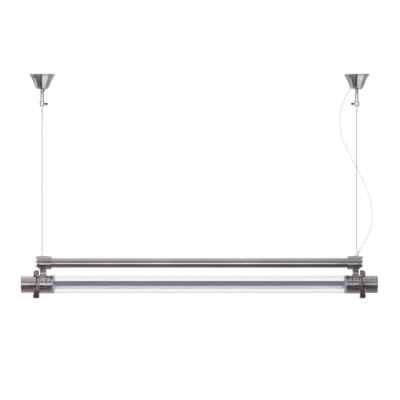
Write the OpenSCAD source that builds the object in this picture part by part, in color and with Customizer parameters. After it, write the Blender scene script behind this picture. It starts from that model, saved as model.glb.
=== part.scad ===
// Linear pendant lamp on two steel wires: an upper pipe and a lower glass tube
// held by two cast end brackets with hinged end caps, hung from two lobed
// ceiling canopies. Millimetres. X runs along the lamp, Z is up, and the origin
// is in the ceiling plane, midway between the four ceiling screw holes.

/* [Suspension] */
// Overall length over the two end caps
lamp_len = 1300; // [1000:50:1600]
// Ceiling plane down to the axis of the upper pipe
drop = 688; // [640:1:760]
// Diameter of the steel wire
wire_d = 1.8; // [1.2:0.1:2.4]
// Diameter of the stem under each canopy
stem_d = 12; // [11:0.5:12.5]

/* [Canopy] */
// Height of the canopy
canopy_h = 53.5; // [52:0.5:56]
// Wall thickness of the canopy
canopy_wall = 1.6; // [1.2:0.1:2.2]
// Radius of the hole in the bottom of the canopy
canopy_hole_r = 12; // [11.5:0.1:12.5]

/* [Lamp] */
// Distance between the pipe axis and the lamp axis
pitch = 79; // [78:0.5:84]
// Diameter of the upper pipe
pipe_d = 36; // [35:0.5:36.5]
// Outer diameter of the glass tube
glass_d = 63; // [62:0.5:63.5]
// Wall thickness of the glass tube
glass_wall = 2.4; // [1.8:0.2:3]
// Outer diameter of the lower collar
collar_d = 67; // [66:0.5:69]
// Outer diameter of the upper socket
socket_d = 48.5; // [47:0.5:50]
// Outer diameter of the hinged end cap
cap_d = 63; // [62.5:0.5:64]

/* [Lamp tube] */
// Diameter of the lamp tube
tube_d = 26; // [25:0.5:26.5]
// Height of the tube axis below the glass axis
tube_off = 2.9; // [2:0.1:3.5]
// Width of the light tray
tray_w = 32; // [31:0.5:33]

/* [Cord] */
// Diameter of the power cord
cord_d = 5; // [4:0.5:6]

/* [Hidden] */
$fn = 48;

dx = (lamp_len - 1300) / 2;  // shift of each lamp end
xs = 574 + dx;               // X of the wires
zp = -drop;                  // pipe axis
zl = -drop - pitch;          // glass axis
zt = zl - tube_off;          // lamp tube axis
z_swing = -46;               // cross pin inside the canopy
z_link = -128;               // pin under the wire lock
z_eye = zp + socket_d / 2 + 5; // pin of the lug on the socket
pin_x = 596;                 // hinge pin of the cap
pin_z = zl + 42;
latch_z = zl - 42;
run = 0.05;                  // running clearance on a radius

// Canopy outline: height below the ceiling and scale of the four-lobed section
CAN = [[0, 1], [-1.6, 1.0], [-4.4, 0.985], [-7, 0.945], [-10, 0.905], [-13, 0.868], [-16, 0.832],
       [-19, 0.797], [-23, 0.752], [-30, 0.693], [-37, 0.623], [-43, 0.572], [-48, 0.522], [-51.5, 0.463], [-53.5, 0.39]];
lobe_c = 28;    // centre of a lobe's round corner
lobe_r = 15.9;  // its radius
lobe_a = 22.6;  // lean of the flat that runs from the corner to the valley

// Axis of the cable gland, tilted outwards
gland_tilt = 28;
function gland0(t) = [572.5 + t * sin(gland_tilt), 12, zp + 21.1 + t * cos(gland_tilt)];
function gland(t) = gland0(t) + [dx, 0, 0];

// Route of the power cord from the clamp to the gland, X from the right wire
HANG = [
  [-12, 0, -30], [-13.5, 0, -36], [-17, 0, -43], [-22.5, 0.5, -51], [-30, 1, -62], [-39, 2, -77], [-47.5, 3, -97],
  [-54.5, 4.5, -119], [-59, 6, -142], [-61, 7, -165], [-61, 8, -187], [-58, 9, -209], [-52, 10, -231], [-44, 10.5, -253],
  [-34.5, 11, -275], [-23, 11.5, -297], [-11, 12, -319], [0.5, 12, -341], [11.5, 12, -363], [22, 12, -385], [31.5, 12, -407],
  [40.5, 12, -429], [48, 12, -451], [53.5, 12, -473], [57, 12, -495], [58.5, 12, -517], [57, 12, -539], [52.5, 12, -560],
  [45, 12, -581], [34.5, 12, -602], [23.5, 12, -622.5]
];
route_k = (gland(26)[2] + 30) / (-643.95 + 30);
ROUTE = concat([for (p = HANG) [p[0] + xs, p[1], -30 + (p[2] + 30) * route_k]], [gland(26)]);

// ---------- helpers ----------
// Right-hand side as drawn, or its mirror image; end() also follows the lamp's length
module side(s) { if (s < 0) mirror([1, 0, 0]) children(); else children(); }
module end(s) { side(s) translate([dx, 0, 0]) children(); }
module xcyl(a, b, r, z, y = 0, f = 72) { translate([a, y, z]) rotate([0, 90, 0]) cylinder(h = b - a, r = r, $fn = f); }
module xcone(a, b, r1, r2, z, y = 0, f = 72) { translate([a, y, z]) rotate([0, 90, 0]) cylinder(h = b - a, r1 = r1, r2 = r2, $fn = f); }
module ycyl(x, z, r, a, b, f = 48) { translate([x, b, z]) rotate([90, 0, 0]) cylinder(h = b - a, r = r, $fn = f); }
module zcyl(x, y, r, a, b, f = 48) { translate([x, y, a]) cylinder(h = b - a, r = r, $fn = f); }
// A profile of [x, r] points turned about an axis along X at height z
module xturn(pts, z, f = 96) {
  translate([0, 0, z]) rotate([0, 90, 0]) rotate([0, 0, 0]) rotate_extrude($fn = f) polygon([for (p = pts) [p[1], p[0]]]);
}
// A plate: outline in X and Z, thickness from y = a to y = b
module xzplate(a, b) { translate([0, b, 0]) rotate([90, 0, 0]) linear_extrude(height = b - a) children(); }
// Clamp flange under an end: flat sides from the glass axis down, rounded lower corners
module flange(a, b) yzbar(a, b) {
  polygon([[-31, zl], [31, zl], [31, zl - 42], [23, zl - 50], [-23, zl - 50], [-31, zl - 42]]);
  for (y = [-23, 23]) translate([y, zl - 42]) circle(r = 8, $fn = 48);
}
// A bar: outline in Y and Z, from x = a to x = b
module yzbar(a, b) { translate([a, 0, 0]) rotate([90, 0, 90]) linear_extrude(height = b - a) children(); }

function unit(v) = v / norm(v);
function spline(p, i, t) = // smooth curve through the route's points
  let (n = len(p) - 1, a = p[max(i - 1, 0)], b = p[i], c = p[min(i + 1, n)], d = p[min(i + 2, n)])
  0.5 * (2 * b + (c - a) * t + (2 * a - 5 * b + 4 * c - d) * t * t + (3 * b - a - 3 * c + d) * t * t * t);
function refine(p, k) = concat([for (i = [0:len(p) - 2], j = [0:k - 1]) spline(p, i, j / k)], [p[len(p) - 1]]);
module sweep(p, r, n, t0 = undef, t1 = undef) {
  m = len(p);
  function tan_at(i) = i == 0 && !is_undef(t0) ? t0 : i == m - 1 && !is_undef(t1) ? t1
    : unit(p[min(i + 1, m - 1)] - p[max(i - 1, 0)]);
  pts = [for (i = [0:m - 1]) let (t = tan_at(i), u = unit(cross([0, 1, 0], t)), v = cross(t, u))
    for (k = [0:n - 1]) p[i] + r * (cos(360 * k / n) * u + sin(360 * k / n) * v)];
  sides = [for (i = [0:m - 2], k = [0:n - 1]) let (q = (k + 1) % n)
    each [[i * n + k, (i + 1) * n + k, (i + 1) * n + q], [i * n + k, (i + 1) * n + q, i * n + q]]];
  polyhedron(points = pts, faces = concat(sides, [[for (k = [0:n - 1]) k]], [[for (k = [n - 1:-1:0]) (m - 1) * n + k]]));
}

// ---------- canopy ----------
function quad_r(a, c, r) = // radius of the four-lobed outline at angle a: round corner, then flat
  let (b = abs((a % 90) - 45), h = c * sqrt(2), bt = 45 - atan((c - r * sin(lobe_a)) / (c + r * cos(lobe_a))))
  b < bt ? h * cos(b) + sqrt(r * r - pow(h * sin(b), 2)) : (c * (cos(lobe_a) - sin(lobe_a)) + r) / cos(45 - b + lobe_a);
module canopy(x0, slot) {
  n = 56;
  rows = len(CAN);
  outer = [for (i = [0:rows - 1]) for (k = [0:n - 1]) let (a = 360 * k / n, q = CAN[i][1] * quad_r(a, lobe_c, lobe_r))
    [q * cos(a), q * sin(a), CAN[i][0]]];
  inner = [for (i = [rows - 1:-1:0]) for (k = [0:n - 1]) let (a = 360 * k / n,
    q = CAN[i][1] * quad_r(a, lobe_c, lobe_r - canopy_wall / max(CAN[i][1], 0.55)) - 0.15)
    [q * cos(a), q * sin(a), max(CAN[i][0], -canopy_h + canopy_wall + 0.4)]];
  hole = [for (z = [-canopy_h, -canopy_h + canopy_wall]) for (k = [0:n - 1]) let (a = 360 * k / n)
    [canopy_hole_r * cos(a), canopy_hole_r * sin(a), z]];
  // two lowest inner rings are merged into one ring on the floor of the canopy
  ring = concat(outer, hole, [for (i = [n * 1:len(inner) - 1]) inner[i]]);
  m = len(ring) / n;
  faces = [for (i = [0:m - 1], k = [0:n - 1]) let (q = (k + 1) % n, j = (i + 1) % m)
    each [[i * n + k, j * n + q, j * n + k], [i * n + k, i * n + q, j * n + q]]];
  color([0.72, 0.71, 0.69]) translate([x0, 0, 0]) difference() {
    polyhedron(points = ring, faces = faces);
    if (slot) {
      translate([-40, -3.6, -49.5]) cube([30, 7.2, 29.5]);
    }
  }
}
module canopy_left() canopy(-xs, false);
module canopy_right() canopy(xs, true);
// Side screw that clamps the canopy to the tab of its bracket
module canopy_screw(x0) color([0.2, 0.2, 0.2]) ycyl(x0 - 27, -10, 2, -40.6, -29.3, 24);
module canopy_screw_left() canopy_screw(-xs);
module canopy_screw_right() canopy_screw(xs);

// ---------- ceiling bracket ----------
module ceiling_bracket(x0, feed) color([0.62, 0.62, 0.64]) translate([x0, 0, 0]) difference() {
  union() {
    translate([-13, -28.8, -2]) cube([26, 57.6, 2]);
    translate([-30, -29, -2]) cube([17.5, 8, 2]);
    translate([-30, -29, -13]) cube([6, 2, 12]);
    translate([-6.6, -6, -4]) cube([13.2, 12, 2]);
    for (s = [-1, 1]) translate([s > 0 ? 4.6 : -6.6, -6, z_swing]) cube([2, 12, -z_swing - 4]);
    for (s = [-1, 1]) xcyl(s > 0 ? 4.6 : -6.6, s > 0 ? 6.6 : -4.6, 6, z_swing);
  }
  for (y = [-22, 22]) zcyl(0, y, 2.5, -3, 1);
  if (feed) zcyl(0, 13, 4.5, -3, 1);
  xcyl(-8, 8, 2 + run, z_swing, 0, 48);
}
module ceiling_bracket_left() ceiling_bracket(-xs, false);
module ceiling_bracket_right() ceiling_bracket(xs, true);
module swivel_pins() color([0.8, 0.8, 0.8]) for (x0 = [-xs, xs]) {
  xcyl(x0 - 6.7, x0 + 6.7, 2, z_swing, 0, 48);
  for (s = [-1, 1]) xcyl(s > 0 ? x0 + 6.65 : x0 - 8, s > 0 ? x0 + 8 : x0 - 6.65, 3.2, z_swing, 0, 48);
}
module terminal_block() color([0.9, 0.9, 0.86]) difference() {
  translate([xs + 8, -7, -17]) cube([12, 14, 15]);
  for (y = [-4.2, 0, 4.2]) xcyl(xs + 7, xs + 15, 1.4, -12, y, 24);
  for (y = [-4.2, 0, 4.2]) zcyl(xs + 17, y, 1.2, -18, -9, 24);
}
module cord_clamp() color([0.85, 0.85, 0.83]) difference() {
  translate([558, -5, -30]) cube([xs - 6.6 - 558, 10, 12]);
  ycyl(565.2, -24, 1.2, -6, 6, 24);
}

// ---------- stem, lock and link ----------
module stem(x0) color([0.86, 0.85, 0.85]) translate([x0, 0, 0]) difference() {
  union() {
    zcyl(0, 0, stem_d / 2, -103, -54);
    xcyl(-4, 4, stem_d / 2, z_swing);
    translate([-4, -stem_d / 2, -55]) cube([8, stem_d, 55 + z_swing]);
  }
  xcyl(-5, 5, 2 + run, z_swing, 0, 48);
  zcyl(0, 0, 4.4, -104, -60);
}
module stem_left() stem(-xs);
module stem_right() stem(xs);
module wire_lock(s) side(s) color([0.8, 0.8, 0.8]) translate([xs, 0, 0]) difference() {
  union() {
    zcyl(0, 0, 8.25, -116.5, -98.5);
    translate([0, 0, -98.5]) cylinder(h = 1, r1 = 8.25, r2 = 7.25);
    translate([0, 0, -117.5]) cylinder(h = 1, r1 = 7.25, r2 = 8.25);
    for (y = [2, -3.8]) {
      translate([-3.4, y, z_link]) cube([6.8, 1.8, -117 - z_link]);
      ycyl(0, z_link, 3.4, y, y + 1.8);
    }
  }
  zcyl(0, 0, stem_d / 2 + run, -103, -97);
  ycyl(0, z_link, 1.3, -5, 5, 32);
  translate([-9, 0, -108]) rotate([0, 90, 0]) cylinder(h = 8, r = 1.5 + run, $fn = 32);
}
module wire_lock_left() wire_lock(-1);
module wire_lock_right() wire_lock(1);
module thumb_screw(s) side(s) color([0.25, 0.25, 0.25]) {
  xcyl(xs - 12.5, xs - 2, 1.5, -108, 0, 32);
  xcyl(xs - 19.6, xs - 12.4, 3.7, -108, 0, 48);
  xcyl(xs - 20.4, xs - 19.5, 3.1, -108, 0, 48);
}
module thumb_screw_left() thumb_screw(-1);
module thumb_screw_right() thumb_screw(1);
// End of the left wire, bent out of the stem under the canopy
module wire_tail() color([0.25, 0.25, 0.25])
  translate([-xs, 0, 0]) sweep([[5.95, 0, -63], [7.2, 0, -60], [9.2, 0, -56.5], [10.6, 0, -53]], 1.1, 8);
module link_pin(x0) color([0.8, 0.8, 0.8]) {
  ycyl(x0, z_link, 1.25, -4.6, 4.6, 32);
  ycyl(x0, z_link, 2, -4.6, -3.85, 32);
  ycyl(x0, z_link, 2, 3.85, 4.6, 32);
}
module link_pin_left() link_pin(-xs);
module link_pin_right() link_pin(xs);

// ---------- wires ----------
module wire(x0) color([0.8, 0.8, 0.8]) zcyl(x0, 0, wire_d / 2, z_eye + 4.5, z_link - 5, 24);
module wire_left() wire(-xs);
module wire_right() wire(xs);
module upper_eye(x0) color([0.75, 0.75, 0.75]) difference() {
  union() {
    ycyl(x0, z_link, 3, -1.6, 1.6);
    zcyl(x0, 0, 1.75, z_link - 12, z_link - 2.2, 32);
  }
  ycyl(x0, z_link, 1.25 + run, -3, 3, 32);
  zcyl(x0, 0, wire_d / 2 + run, z_link - 13, z_link - 5, 24);
}
module upper_eye_left() upper_eye(-xs);
module upper_eye_right() upper_eye(xs);
module lower_eye(x0) color([0.75, 0.75, 0.75]) difference() {
  union() {
    ycyl(x0, z_eye, 2.8, -1.6, 1.6);
    zcyl(x0, 0, 1.7, z_eye + 2, z_eye + 11, 32);
  }
  ycyl(x0, z_eye, 1.1 + run, -3, 3, 32);
  zcyl(x0, 0, wire_d / 2 + run, z_eye + 4.5, z_eye + 12, 24);
}
module lower_eye_left() lower_eye(-xs);
module lower_eye_right() lower_eye(xs);
module suspension_lug(x0) color([0.8, 0.8, 0.8]) difference() {
  union() {
    zcyl(x0, 0, 3, zp + 19.2, zp + socket_d / 2 + 0.1, 32);
    zcyl(x0, 0, 4.2, zp + socket_d / 2 - 0.3, zp + socket_d / 2 + 1.2, 48);
    for (y = [2.1, -3.6]) {
      translate([x0 - 3, y, zp + socket_d / 2 + 1]) cube([6, 1.5, 4]);
      ycyl(x0, z_eye, 3, y, y + 1.5);
    }
  }
  ycyl(x0, z_eye, 1.1 + run, -5, 5, 32);
}
module suspension_lug_left() suspension_lug(-xs);
module suspension_lug_right() suspension_lug(xs);
module lug_pins() color([0.8, 0.8, 0.8]) for (x0 = [-xs, xs]) ycyl(x0, z_eye, 1.1, -4, 4, 32);

// ---------- end brackets ----------
cover_a = [68, 112, 14, 166, -29, 209]; // places of the cover screws
module arm_outline() { // seen along X
  difference() {
    union() {
      translate([0, zl]) circle(r = collar_d / 2 + 1.4, $fn = 96);
      polygon([for (p = [[19, 12], [17, 19], [15.2, 26], [14.2, 33], [14.4, 40], [16.2, 46], [19.5, 51], [24, 56],
        [-24, 56], [-19.5, 51], [-16.2, 46], [-14.4, 40], [-14.2, 33], [-15.2, 26], [-17, 19], [-19, 12]]) [p[0], zp - p[1]]]);
    }
    translate([-50, zl - 60]) square([100, 50]);
    translate([0, zl]) circle(r = collar_d / 2 - 1, $fn = 96);
    translate([0, zp]) circle(r = socket_d / 2 - 2, $fn = 96);
  }
}
module end_bracket(s) end(s) color([0.6, 0.58, 0.57]) difference() {
  union() {
    xturn([[535, 0], [535, collar_d / 2 - 0.8], [535.8, collar_d / 2], [583, collar_d / 2], [586, cap_d / 2 - 0.3], [591, cap_d / 2 - 0.3], [591, 0]], zl);
    xturn([[540, 0], [540, socket_d / 2 - 0.8], [540.8, socket_d / 2], [582, socket_d / 2], [582, 0]], zp);
    yzbar(558.5, 581.5) arm_outline();
    // two ears of the hinge
    for (y = [-11.3, 6.3]) xzplate(y, y + 5) {
      polygon([for (p = [[586.2, 18], [591, 18], [591, 34], [596, 42], [596, 51.5], [586.2, 51.5]]) [p[0], zl + p[1]]]);
      translate([pin_x, pin_z]) circle(r = 9.5, $fn = 64);
    }
    flange(584.5, 591);
    if (s > 0) translate(gland0(-7)) rotate([0, gland_tilt, 0]) cylinder(h = 12, r = 6.4);
  }
  // bore for the glass tube, bulkhead, chamber for the lampholder
  xcyl(534, 566, glass_d / 2 + 0.7, zl);
  xcyl(570, 592, 29.5, zl);
  xcyl(565, 571, 16, zt);
  // pipe bore and lead passage
  xcyl(539, 583, pipe_d / 2 + run, zp);
  zcyl(575.5, 0, 3.5, zl + 25, zp, 32);
  // hinge, latch, cover and bulkhead holes
  ycyl(pin_x, pin_z, 2.5 + run, -12, 12);
  xcyl(583, 592, 3.6, latch_z, 0, 48);
  for (a = cover_a) xcyl(575.5, 583, 1.5, zp + 21 * sin(a), 21 * cos(a), 24);
  for (y = [-21.5, 21.5]) xcyl(565, 571, 1.5, zt, y, 24);
  xcyl(565, 571, 1.5, zl + 19, 0, 24);
  zcyl(574, 0, 3 + run, zp + 10, zp + 40, 32);
  zcyl(574, 0, 4.25, zp + socket_d / 2 - 0.3, zp + 40);
  if (s > 0) translate(gland0(-14)) rotate([0, gland_tilt, 0]) cylinder(h = 20, r = 4 + run);
}
module end_bracket_left() end_bracket(-1);
module end_bracket_right() end_bracket(1);

module pipe_cover(s) end(s) color([0.6, 0.58, 0.57]) difference() {
  union() {
    xturn([[582, 0], [582, socket_d / 2], [590, socket_d / 2], [592, socket_d / 2 - 2], [592, 0]], zp);
    xcyl(580, 582.5, 17.5, zp);
  }
  // lower outer corner bevelled to clear the cap's hinge
  translate([583, -40, zp - 22.3]) rotate([0, -40.6, 0]) translate([0, 0, -40]) cube([60, 80, 40]);
  for (a = cover_a) xcyl(579, 593, 1.6, zp + 21 * sin(a), 21 * cos(a), 24);
}
module pipe_cover_left() pipe_cover(-1);
module pipe_cover_right() pipe_cover(1);
module cover_screws(s) end(s) color([0.5, 0.5, 0.5]) for (a = cover_a) {
  xcyl(576.5, 592.5, 1.45, zp + 21 * sin(a), 21 * cos(a), 24);
  xturn_at([[592, 0], [592, 2.7], [594.4, 2.7], [596.6, 1.6], [597.4, 0]], 21 * cos(a), zp + 21 * sin(a));
}
module xturn_at(pts, y, z) { translate([0, y, z]) rotate([0, 90, 0]) rotate_extrude($fn = 32) polygon([for (p = pts) [p[1], p[0]]]); }
module cover_screws_left() cover_screws(-1);
module cover_screws_right() cover_screws(1);
module top_pipe() color([0.6, 0.58, 0.57]) difference() {
  xcyl(-562 - dx, 562 + dx, pipe_d / 2, zp);
  xcyl(-563 - dx, 563 + dx, pipe_d / 2 - 1.5, zp);
}

// ---------- glass, seals, tray ----------
module glass_tube() color([0.85, 0.9, 0.92, 0.3]) difference() {
  xcyl(-563 - dx, 563 + dx, glass_d / 2, zl, 0, 96);
  xcyl(-564 - dx, 564 + dx, glass_d / 2 - glass_wall, zl, 0, 96);
}
module glass_seal(s) end(s) color([0.8, 0.8, 0.88]) xturn([[528.5, glass_d / 2 + 0.1], [528.5, glass_d / 2 + 0.7],
  [529.7, glass_d / 2 + 1.5], [534.2, glass_d / 2 + 1.5], [534.9, glass_d / 2 + 0.6], [552, glass_d / 2 + 0.6], [552, glass_d / 2 + 0.1]], zl);
module glass_seal_left() glass_seal(-1);
module glass_seal_right() glass_seal(1);
module light_tray() color([0.5, 0.5, 0.52])
  yzbar(-565.6 - dx, 565.6 + dx) polygon([for (p = [[-tray_w / 2, -4.5], [-tray_w / 2, 12], [-tray_w / 2 + 1, 13], [tray_w / 2 - 1, 13], [tray_w / 2, 12],
      [tray_w / 2, -4.5], [tray_w / 2 - 1.4, -4.5], [tray_w / 2 - 1.4, 11.6], [-tray_w / 2 + 1.4, 11.6], [-tray_w / 2 + 1.4, -4.5]]) [p[0], zl + p[1]]]);
// An angle on each end of the tray, and its screw into the bulkhead
module tray_fixings() color([0.5, 0.5, 0.5]) for (s = [-1, 1]) end(s) {
  difference() {
    union() {
      translate([564.2, -8, zl + 13]) cube([1.4, 16, 11]);
      translate([555, -8, zl + 13]) cube([10, 16, 1.4]);
    }
    xcyl(563, 567, 1.6, zl + 19, 0, 24);
  }
  xcyl(562.4, 569, 1.45, zl + 19, 0, 24);
  xcyl(562, 564.15, 2.8, zl + 19, 0, 32);
}

// ---------- lampholders ----------
module lampholder(s) end(s) color([0.9, 0.9, 0.88]) difference() {
  union() {
    xcyl(570, 573, 25, zt);
    xcyl(570, 621, 18.5, zt);
    xcone(621, 622, 18.5, 17.5, zt);
  }
  xcyl(569, 608.7, 15.5, zt);
  xcyl(608, 615, 4 + run, zt, 0, 48);
  for (y = [-21.5, 21.5]) xcyl(569, 574, 1.6, zt, y, 24);
  zcyl(614, 0, 2.2, zt + 10, zt + 20, 24);
}
module lampholder_left() lampholder(-1);
module lampholder_right() lampholder(1);
module lampholder_screws() color([0.7, 0.7, 0.7]) for (s = [-1, 1]) end(s) for (y = [-21.5, 21.5]) {
  xcyl(566.5, 573.5, 1.45, zt, y, 24);
  xcyl(573, 575, 2.7, zt, y, 32);
}
module lamp_rotors() color([0.85, 0.85, 0.83]) for (s = [-1, 1]) end(s) difference() {
  union() {
    xcyl(600.3, 608.4, 11, zt);
    xcyl(608, 614, 4, zt, 0, 48);
  }
  for (z = [-6.35, 6.35]) xcyl(600, 608, 1.2 + run, zt + z, 0, 24);
}

// ---------- lamp tube ----------
module lamp_back() color([0.75, 0.75, 0.77]) yzbar(-588 - dx, 588 + dx) difference() {
  union() {
    translate([0, zt]) difference() {
      circle(r = tube_d / 2, $fn = 96);
      circle(r = tube_d / 2 - 1.4, $fn = 96);
    }
    for (y = [-1, 1]) translate([y * 10.6 - 1.2, zt + 0.1]) square([2.4, 1]);
  }
  translate([-20, zt - 20]) square([40, 20.1]);
}
module lamp_diffuser() color([0.93, 0.94, 0.97]) yzbar(-588 - dx, 588 + dx) difference() {
  translate([0, zt]) circle(r = tube_d / 2, $fn = 96);
  translate([0, zt]) circle(r = tube_d / 2 - 1.2, $fn = 96);
  translate([-20, zt]) square([40, 20]);
}
module led_board() color([0.95, 0.95, 0.9]) {
  translate([-586 - dx, -10.5, zt + 1.1]) cube([1172 + 2 * dx, 21, 1.2]);
  for (x = [-570 - dx:30:570 + dx]) translate([x - 1.75, -1.75, zt + 0.1]) cube([3.5, 3.5, 1.05]);
}
module lamp_end_caps() color([0.85, 0.85, 0.86]) for (s = [-1, 1]) end(s) difference() {
  xcyl(582, 600, tube_d / 2 + 0.5, zt);
  xcyl(581, 588.1, tube_d / 2 + 0.03, zt);
  xcyl(588, 592, tube_d / 2 - 1.5, zt);
  for (z = [-6.35, 6.35]) xcyl(595, 601, 1.2 + run, zt + z, 0, 24);
}
module lamp_contacts() color([0.8, 0.7, 0.4]) for (s = [-1, 1]) end(s)
  for (z = [-6.35, 6.35]) xcyl(595, 607.5, 1.2, zt + z, 0, 24);

// ---------- driver and leads ----------
module led_driver() color([0.9, 0.9, 0.9]) {
  xcyl(100, 380, 15.4, zp);
  for (x = [110, 360]) xcyl(x, x + 8, pipe_d / 2 - 1.6, zp);
}
module lead(s, x0) color([0.9, 0.9, 0.9]) end(s)
  sweep([[x0 - dx, 0, zp], [568, 0, zp], [573, 0, zp - 1.5], [575.5, 0, zp - 7], [575.5, 0, zl + 30], [577, 0, zl + 23.5],
    [582, 0, zl + 21.5], [609, 0, zl + 21.5], [613, 0, zl + 19.5], [614, 0, zl + 15], [614, 0, zl + 9]], 1.5, 8, [1, 0, 0], [0, 0, -1]);
module lead_left() lead(-1, -99.5);
module lead_right() lead(1, 380.5);
module supply_lead() color([0.9, 0.9, 0.9])
  sweep([[380.5, 0, zp + 8], [dx + 546, 3, zp + 8], [dx + 557, 8, zp + 8.5], gland(-13), gland(-4), gland(26)], 2.3, 8,
    [1, 0, 0], [sin(gland_tilt), 0, cos(gland_tilt)]);

// ---------- end caps ----------
module end_cap(s) end(s) color([0.6, 0.58, 0.57]) difference() {
  union() {
    xturn([[593.9, 29.5], [593.9, cap_d / 2], [594.5, cap_d / 2 + 0.6], [605, cap_d / 2 + 0.6], [606, cap_d / 2], [647.4, cap_d / 2], [649.2, cap_d / 2 - 0.8],
      [650, cap_d / 2 - 2.6], [650, 0], [647, 0], [647, 29.5]], zl);
    difference() {
      xzplate(-6, 6) {
        translate([pin_x, pin_z]) circle(r = 9.2, $fn = 64);
        polygon([for (p = [[597, 28], [606, 28], [606, 40], [604.5, 44], [596, 42]]) [p[0], zl + p[1]]]);
      }
      xcyl(590, 620, 30.5, zl);
    }
    difference() {
      flange(594, 603);
      xcyl(590, 620, 30.5, zl);
    }
  }
  ycyl(pin_x, pin_z, 2.5 + run, -8, 8);
  xcyl(593, 604, 3 + run, latch_z, 0, 48);
}
module end_cap_left() end_cap(-1);
module end_cap_right() end_cap(1);
module cap_gaskets() color([0.1, 0.1, 0.1]) for (s = [-1, 1]) end(s)
  xturn([[591, 29.7], [591, 30.9], [593.6, 30.7], [593.6, 29.9]], zl);
module hinge_pins() color([0.75, 0.75, 0.75]) for (s = [-1, 1]) end(s) {
  ycyl(pin_x, pin_z, 2.5, -12.4, 12.4);
  for (y = [-13.2, 11.3]) ycyl(pin_x, pin_z, 4.4, y, y + 1.9);
}
module cap_latch(s) end(s) color([0.3, 0.28, 0.3]) difference() {
  union() {
    xcyl(589, 604, 3, latch_z, 0, 48);
    xcyl(603.1, 607, 6.5, latch_z, 0, 48);
  }
  translate([605.4, -8, latch_z - 0.8]) cube([3, 16, 1.6]);
}
module cap_latch_left() cap_latch(-1);
module cap_latch_right() cap_latch(1);

// ---------- gland and cord ----------
module cable_gland() color([0.9, 0.9, 0.9]) translate(gland(0)) rotate([0, gland_tilt, 0]) difference() {
  union() {
    translate([0, 0, -6]) cylinder(h = 11.1, r = 4);
    translate([0, 0, 5]) cylinder(h = 5, r = 6.4, $fn = 6);
    translate([0, 0, 10]) cylinder(h = 16, r1 = 4.6, r2 = 3.3);
  }
  translate([0, 0, -7]) cylinder(h = 34, r = 2.5);
}
module power_cord() color([0.93, 0.93, 0.93])
  sweep(refine(ROUTE, 2), cord_d / 2, 8, [0, 0, -1], [-sin(gland_tilt), 0, -cos(gland_tilt)]);

ceiling_bracket_left();
ceiling_bracket_right();
swivel_pins();
terminal_block();
cord_clamp();
canopy_left();
canopy_right();
canopy_screw_left();
canopy_screw_right();
stem_left();
stem_right();
wire_lock_left();
wire_lock_right();
thumb_screw_left();
thumb_screw_right();
wire_tail();
link_pin_left();
link_pin_right();
wire_left();
wire_right();
upper_eye_left();
upper_eye_right();
lower_eye_left();
lower_eye_right();
suspension_lug_left();
suspension_lug_right();
lug_pins();
end_bracket_left();
end_bracket_right();
top_pipe();
pipe_cover_left();
pipe_cover_right();
cover_screws_left();
cover_screws_right();
glass_tube();
glass_seal_left();
glass_seal_right();
light_tray();
tray_fixings();
lampholder_left();
lampholder_right();
lampholder_screws();
led_driver();
lead_left();
lead_right();
supply_lead();
lamp_back();
lamp_diffuser();
led_board();
lamp_end_caps();
lamp_contacts();
lamp_rotors();
end_cap_left();
end_cap_right();
cap_gaskets();
hinge_pins();
cap_latch_left();
cap_latch_right();
cable_gland();
power_cord();
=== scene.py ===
import math

import bmesh
import bpy
import numpy as np
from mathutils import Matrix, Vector


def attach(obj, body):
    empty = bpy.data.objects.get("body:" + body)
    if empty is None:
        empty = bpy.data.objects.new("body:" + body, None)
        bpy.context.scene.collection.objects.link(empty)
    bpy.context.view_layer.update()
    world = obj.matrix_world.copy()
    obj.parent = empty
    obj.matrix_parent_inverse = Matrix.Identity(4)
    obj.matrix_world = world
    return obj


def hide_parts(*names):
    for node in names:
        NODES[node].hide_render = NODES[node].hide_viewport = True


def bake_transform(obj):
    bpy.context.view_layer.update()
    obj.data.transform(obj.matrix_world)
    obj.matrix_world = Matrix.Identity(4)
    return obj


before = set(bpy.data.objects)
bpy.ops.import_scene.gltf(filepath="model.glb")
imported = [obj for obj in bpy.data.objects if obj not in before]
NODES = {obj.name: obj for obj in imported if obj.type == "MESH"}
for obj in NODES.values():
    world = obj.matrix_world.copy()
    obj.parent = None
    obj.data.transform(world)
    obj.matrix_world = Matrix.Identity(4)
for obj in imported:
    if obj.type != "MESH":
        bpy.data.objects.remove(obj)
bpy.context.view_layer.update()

MM = 0.001

# Sizes of the CAD model, in millimetres
XS = 574.0
ZP = -688.0
ZL = -767.0
ZT = ZL - 2.9
Z_SWING = -46.0
Z_LINK = -128.0
Z_EYE = ZP + 24.25 + 5
PIN_X, PIN_Z = 596.0, ZL + 42
LATCH_Z = ZL - 42
TILT = math.radians(28)
G0 = np.array([572.5, 12.0, ZP + 21.1])
GDIR = np.array([math.sin(TILT), 0.0, math.cos(TILT)])


# ---------------------------------------------------------------- camera
cam_data = bpy.data.cameras.new("camera")
cam = bpy.data.objects.new("camera", cam_data)
bpy.context.scene.collection.objects.link(cam)
bpy.context.scene.camera = cam
cam_data.sensor_width = 36
cam_data.lens = 246.6
cam_data.clip_end = 100
cam.location = (0.0022, -10.0, -0.4588)
cam.rotation_euler = (math.radians(90), 0, 0)


# ---------------------------------------------------------------- materials
def _nodes(name):
    m = bpy.data.materials.new(name)
    m.use_nodes = True
    nt = m.node_tree
    nt.nodes.clear()
    out = nt.nodes.new("ShaderNodeOutputMaterial")
    b = nt.nodes.new("ShaderNodeBsdfPrincipled")
    nt.links.new(b.outputs[0], out.inputs[0])
    co = nt.nodes.new("ShaderNodeTexCoord")
    return m, nt, b, co


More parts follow.
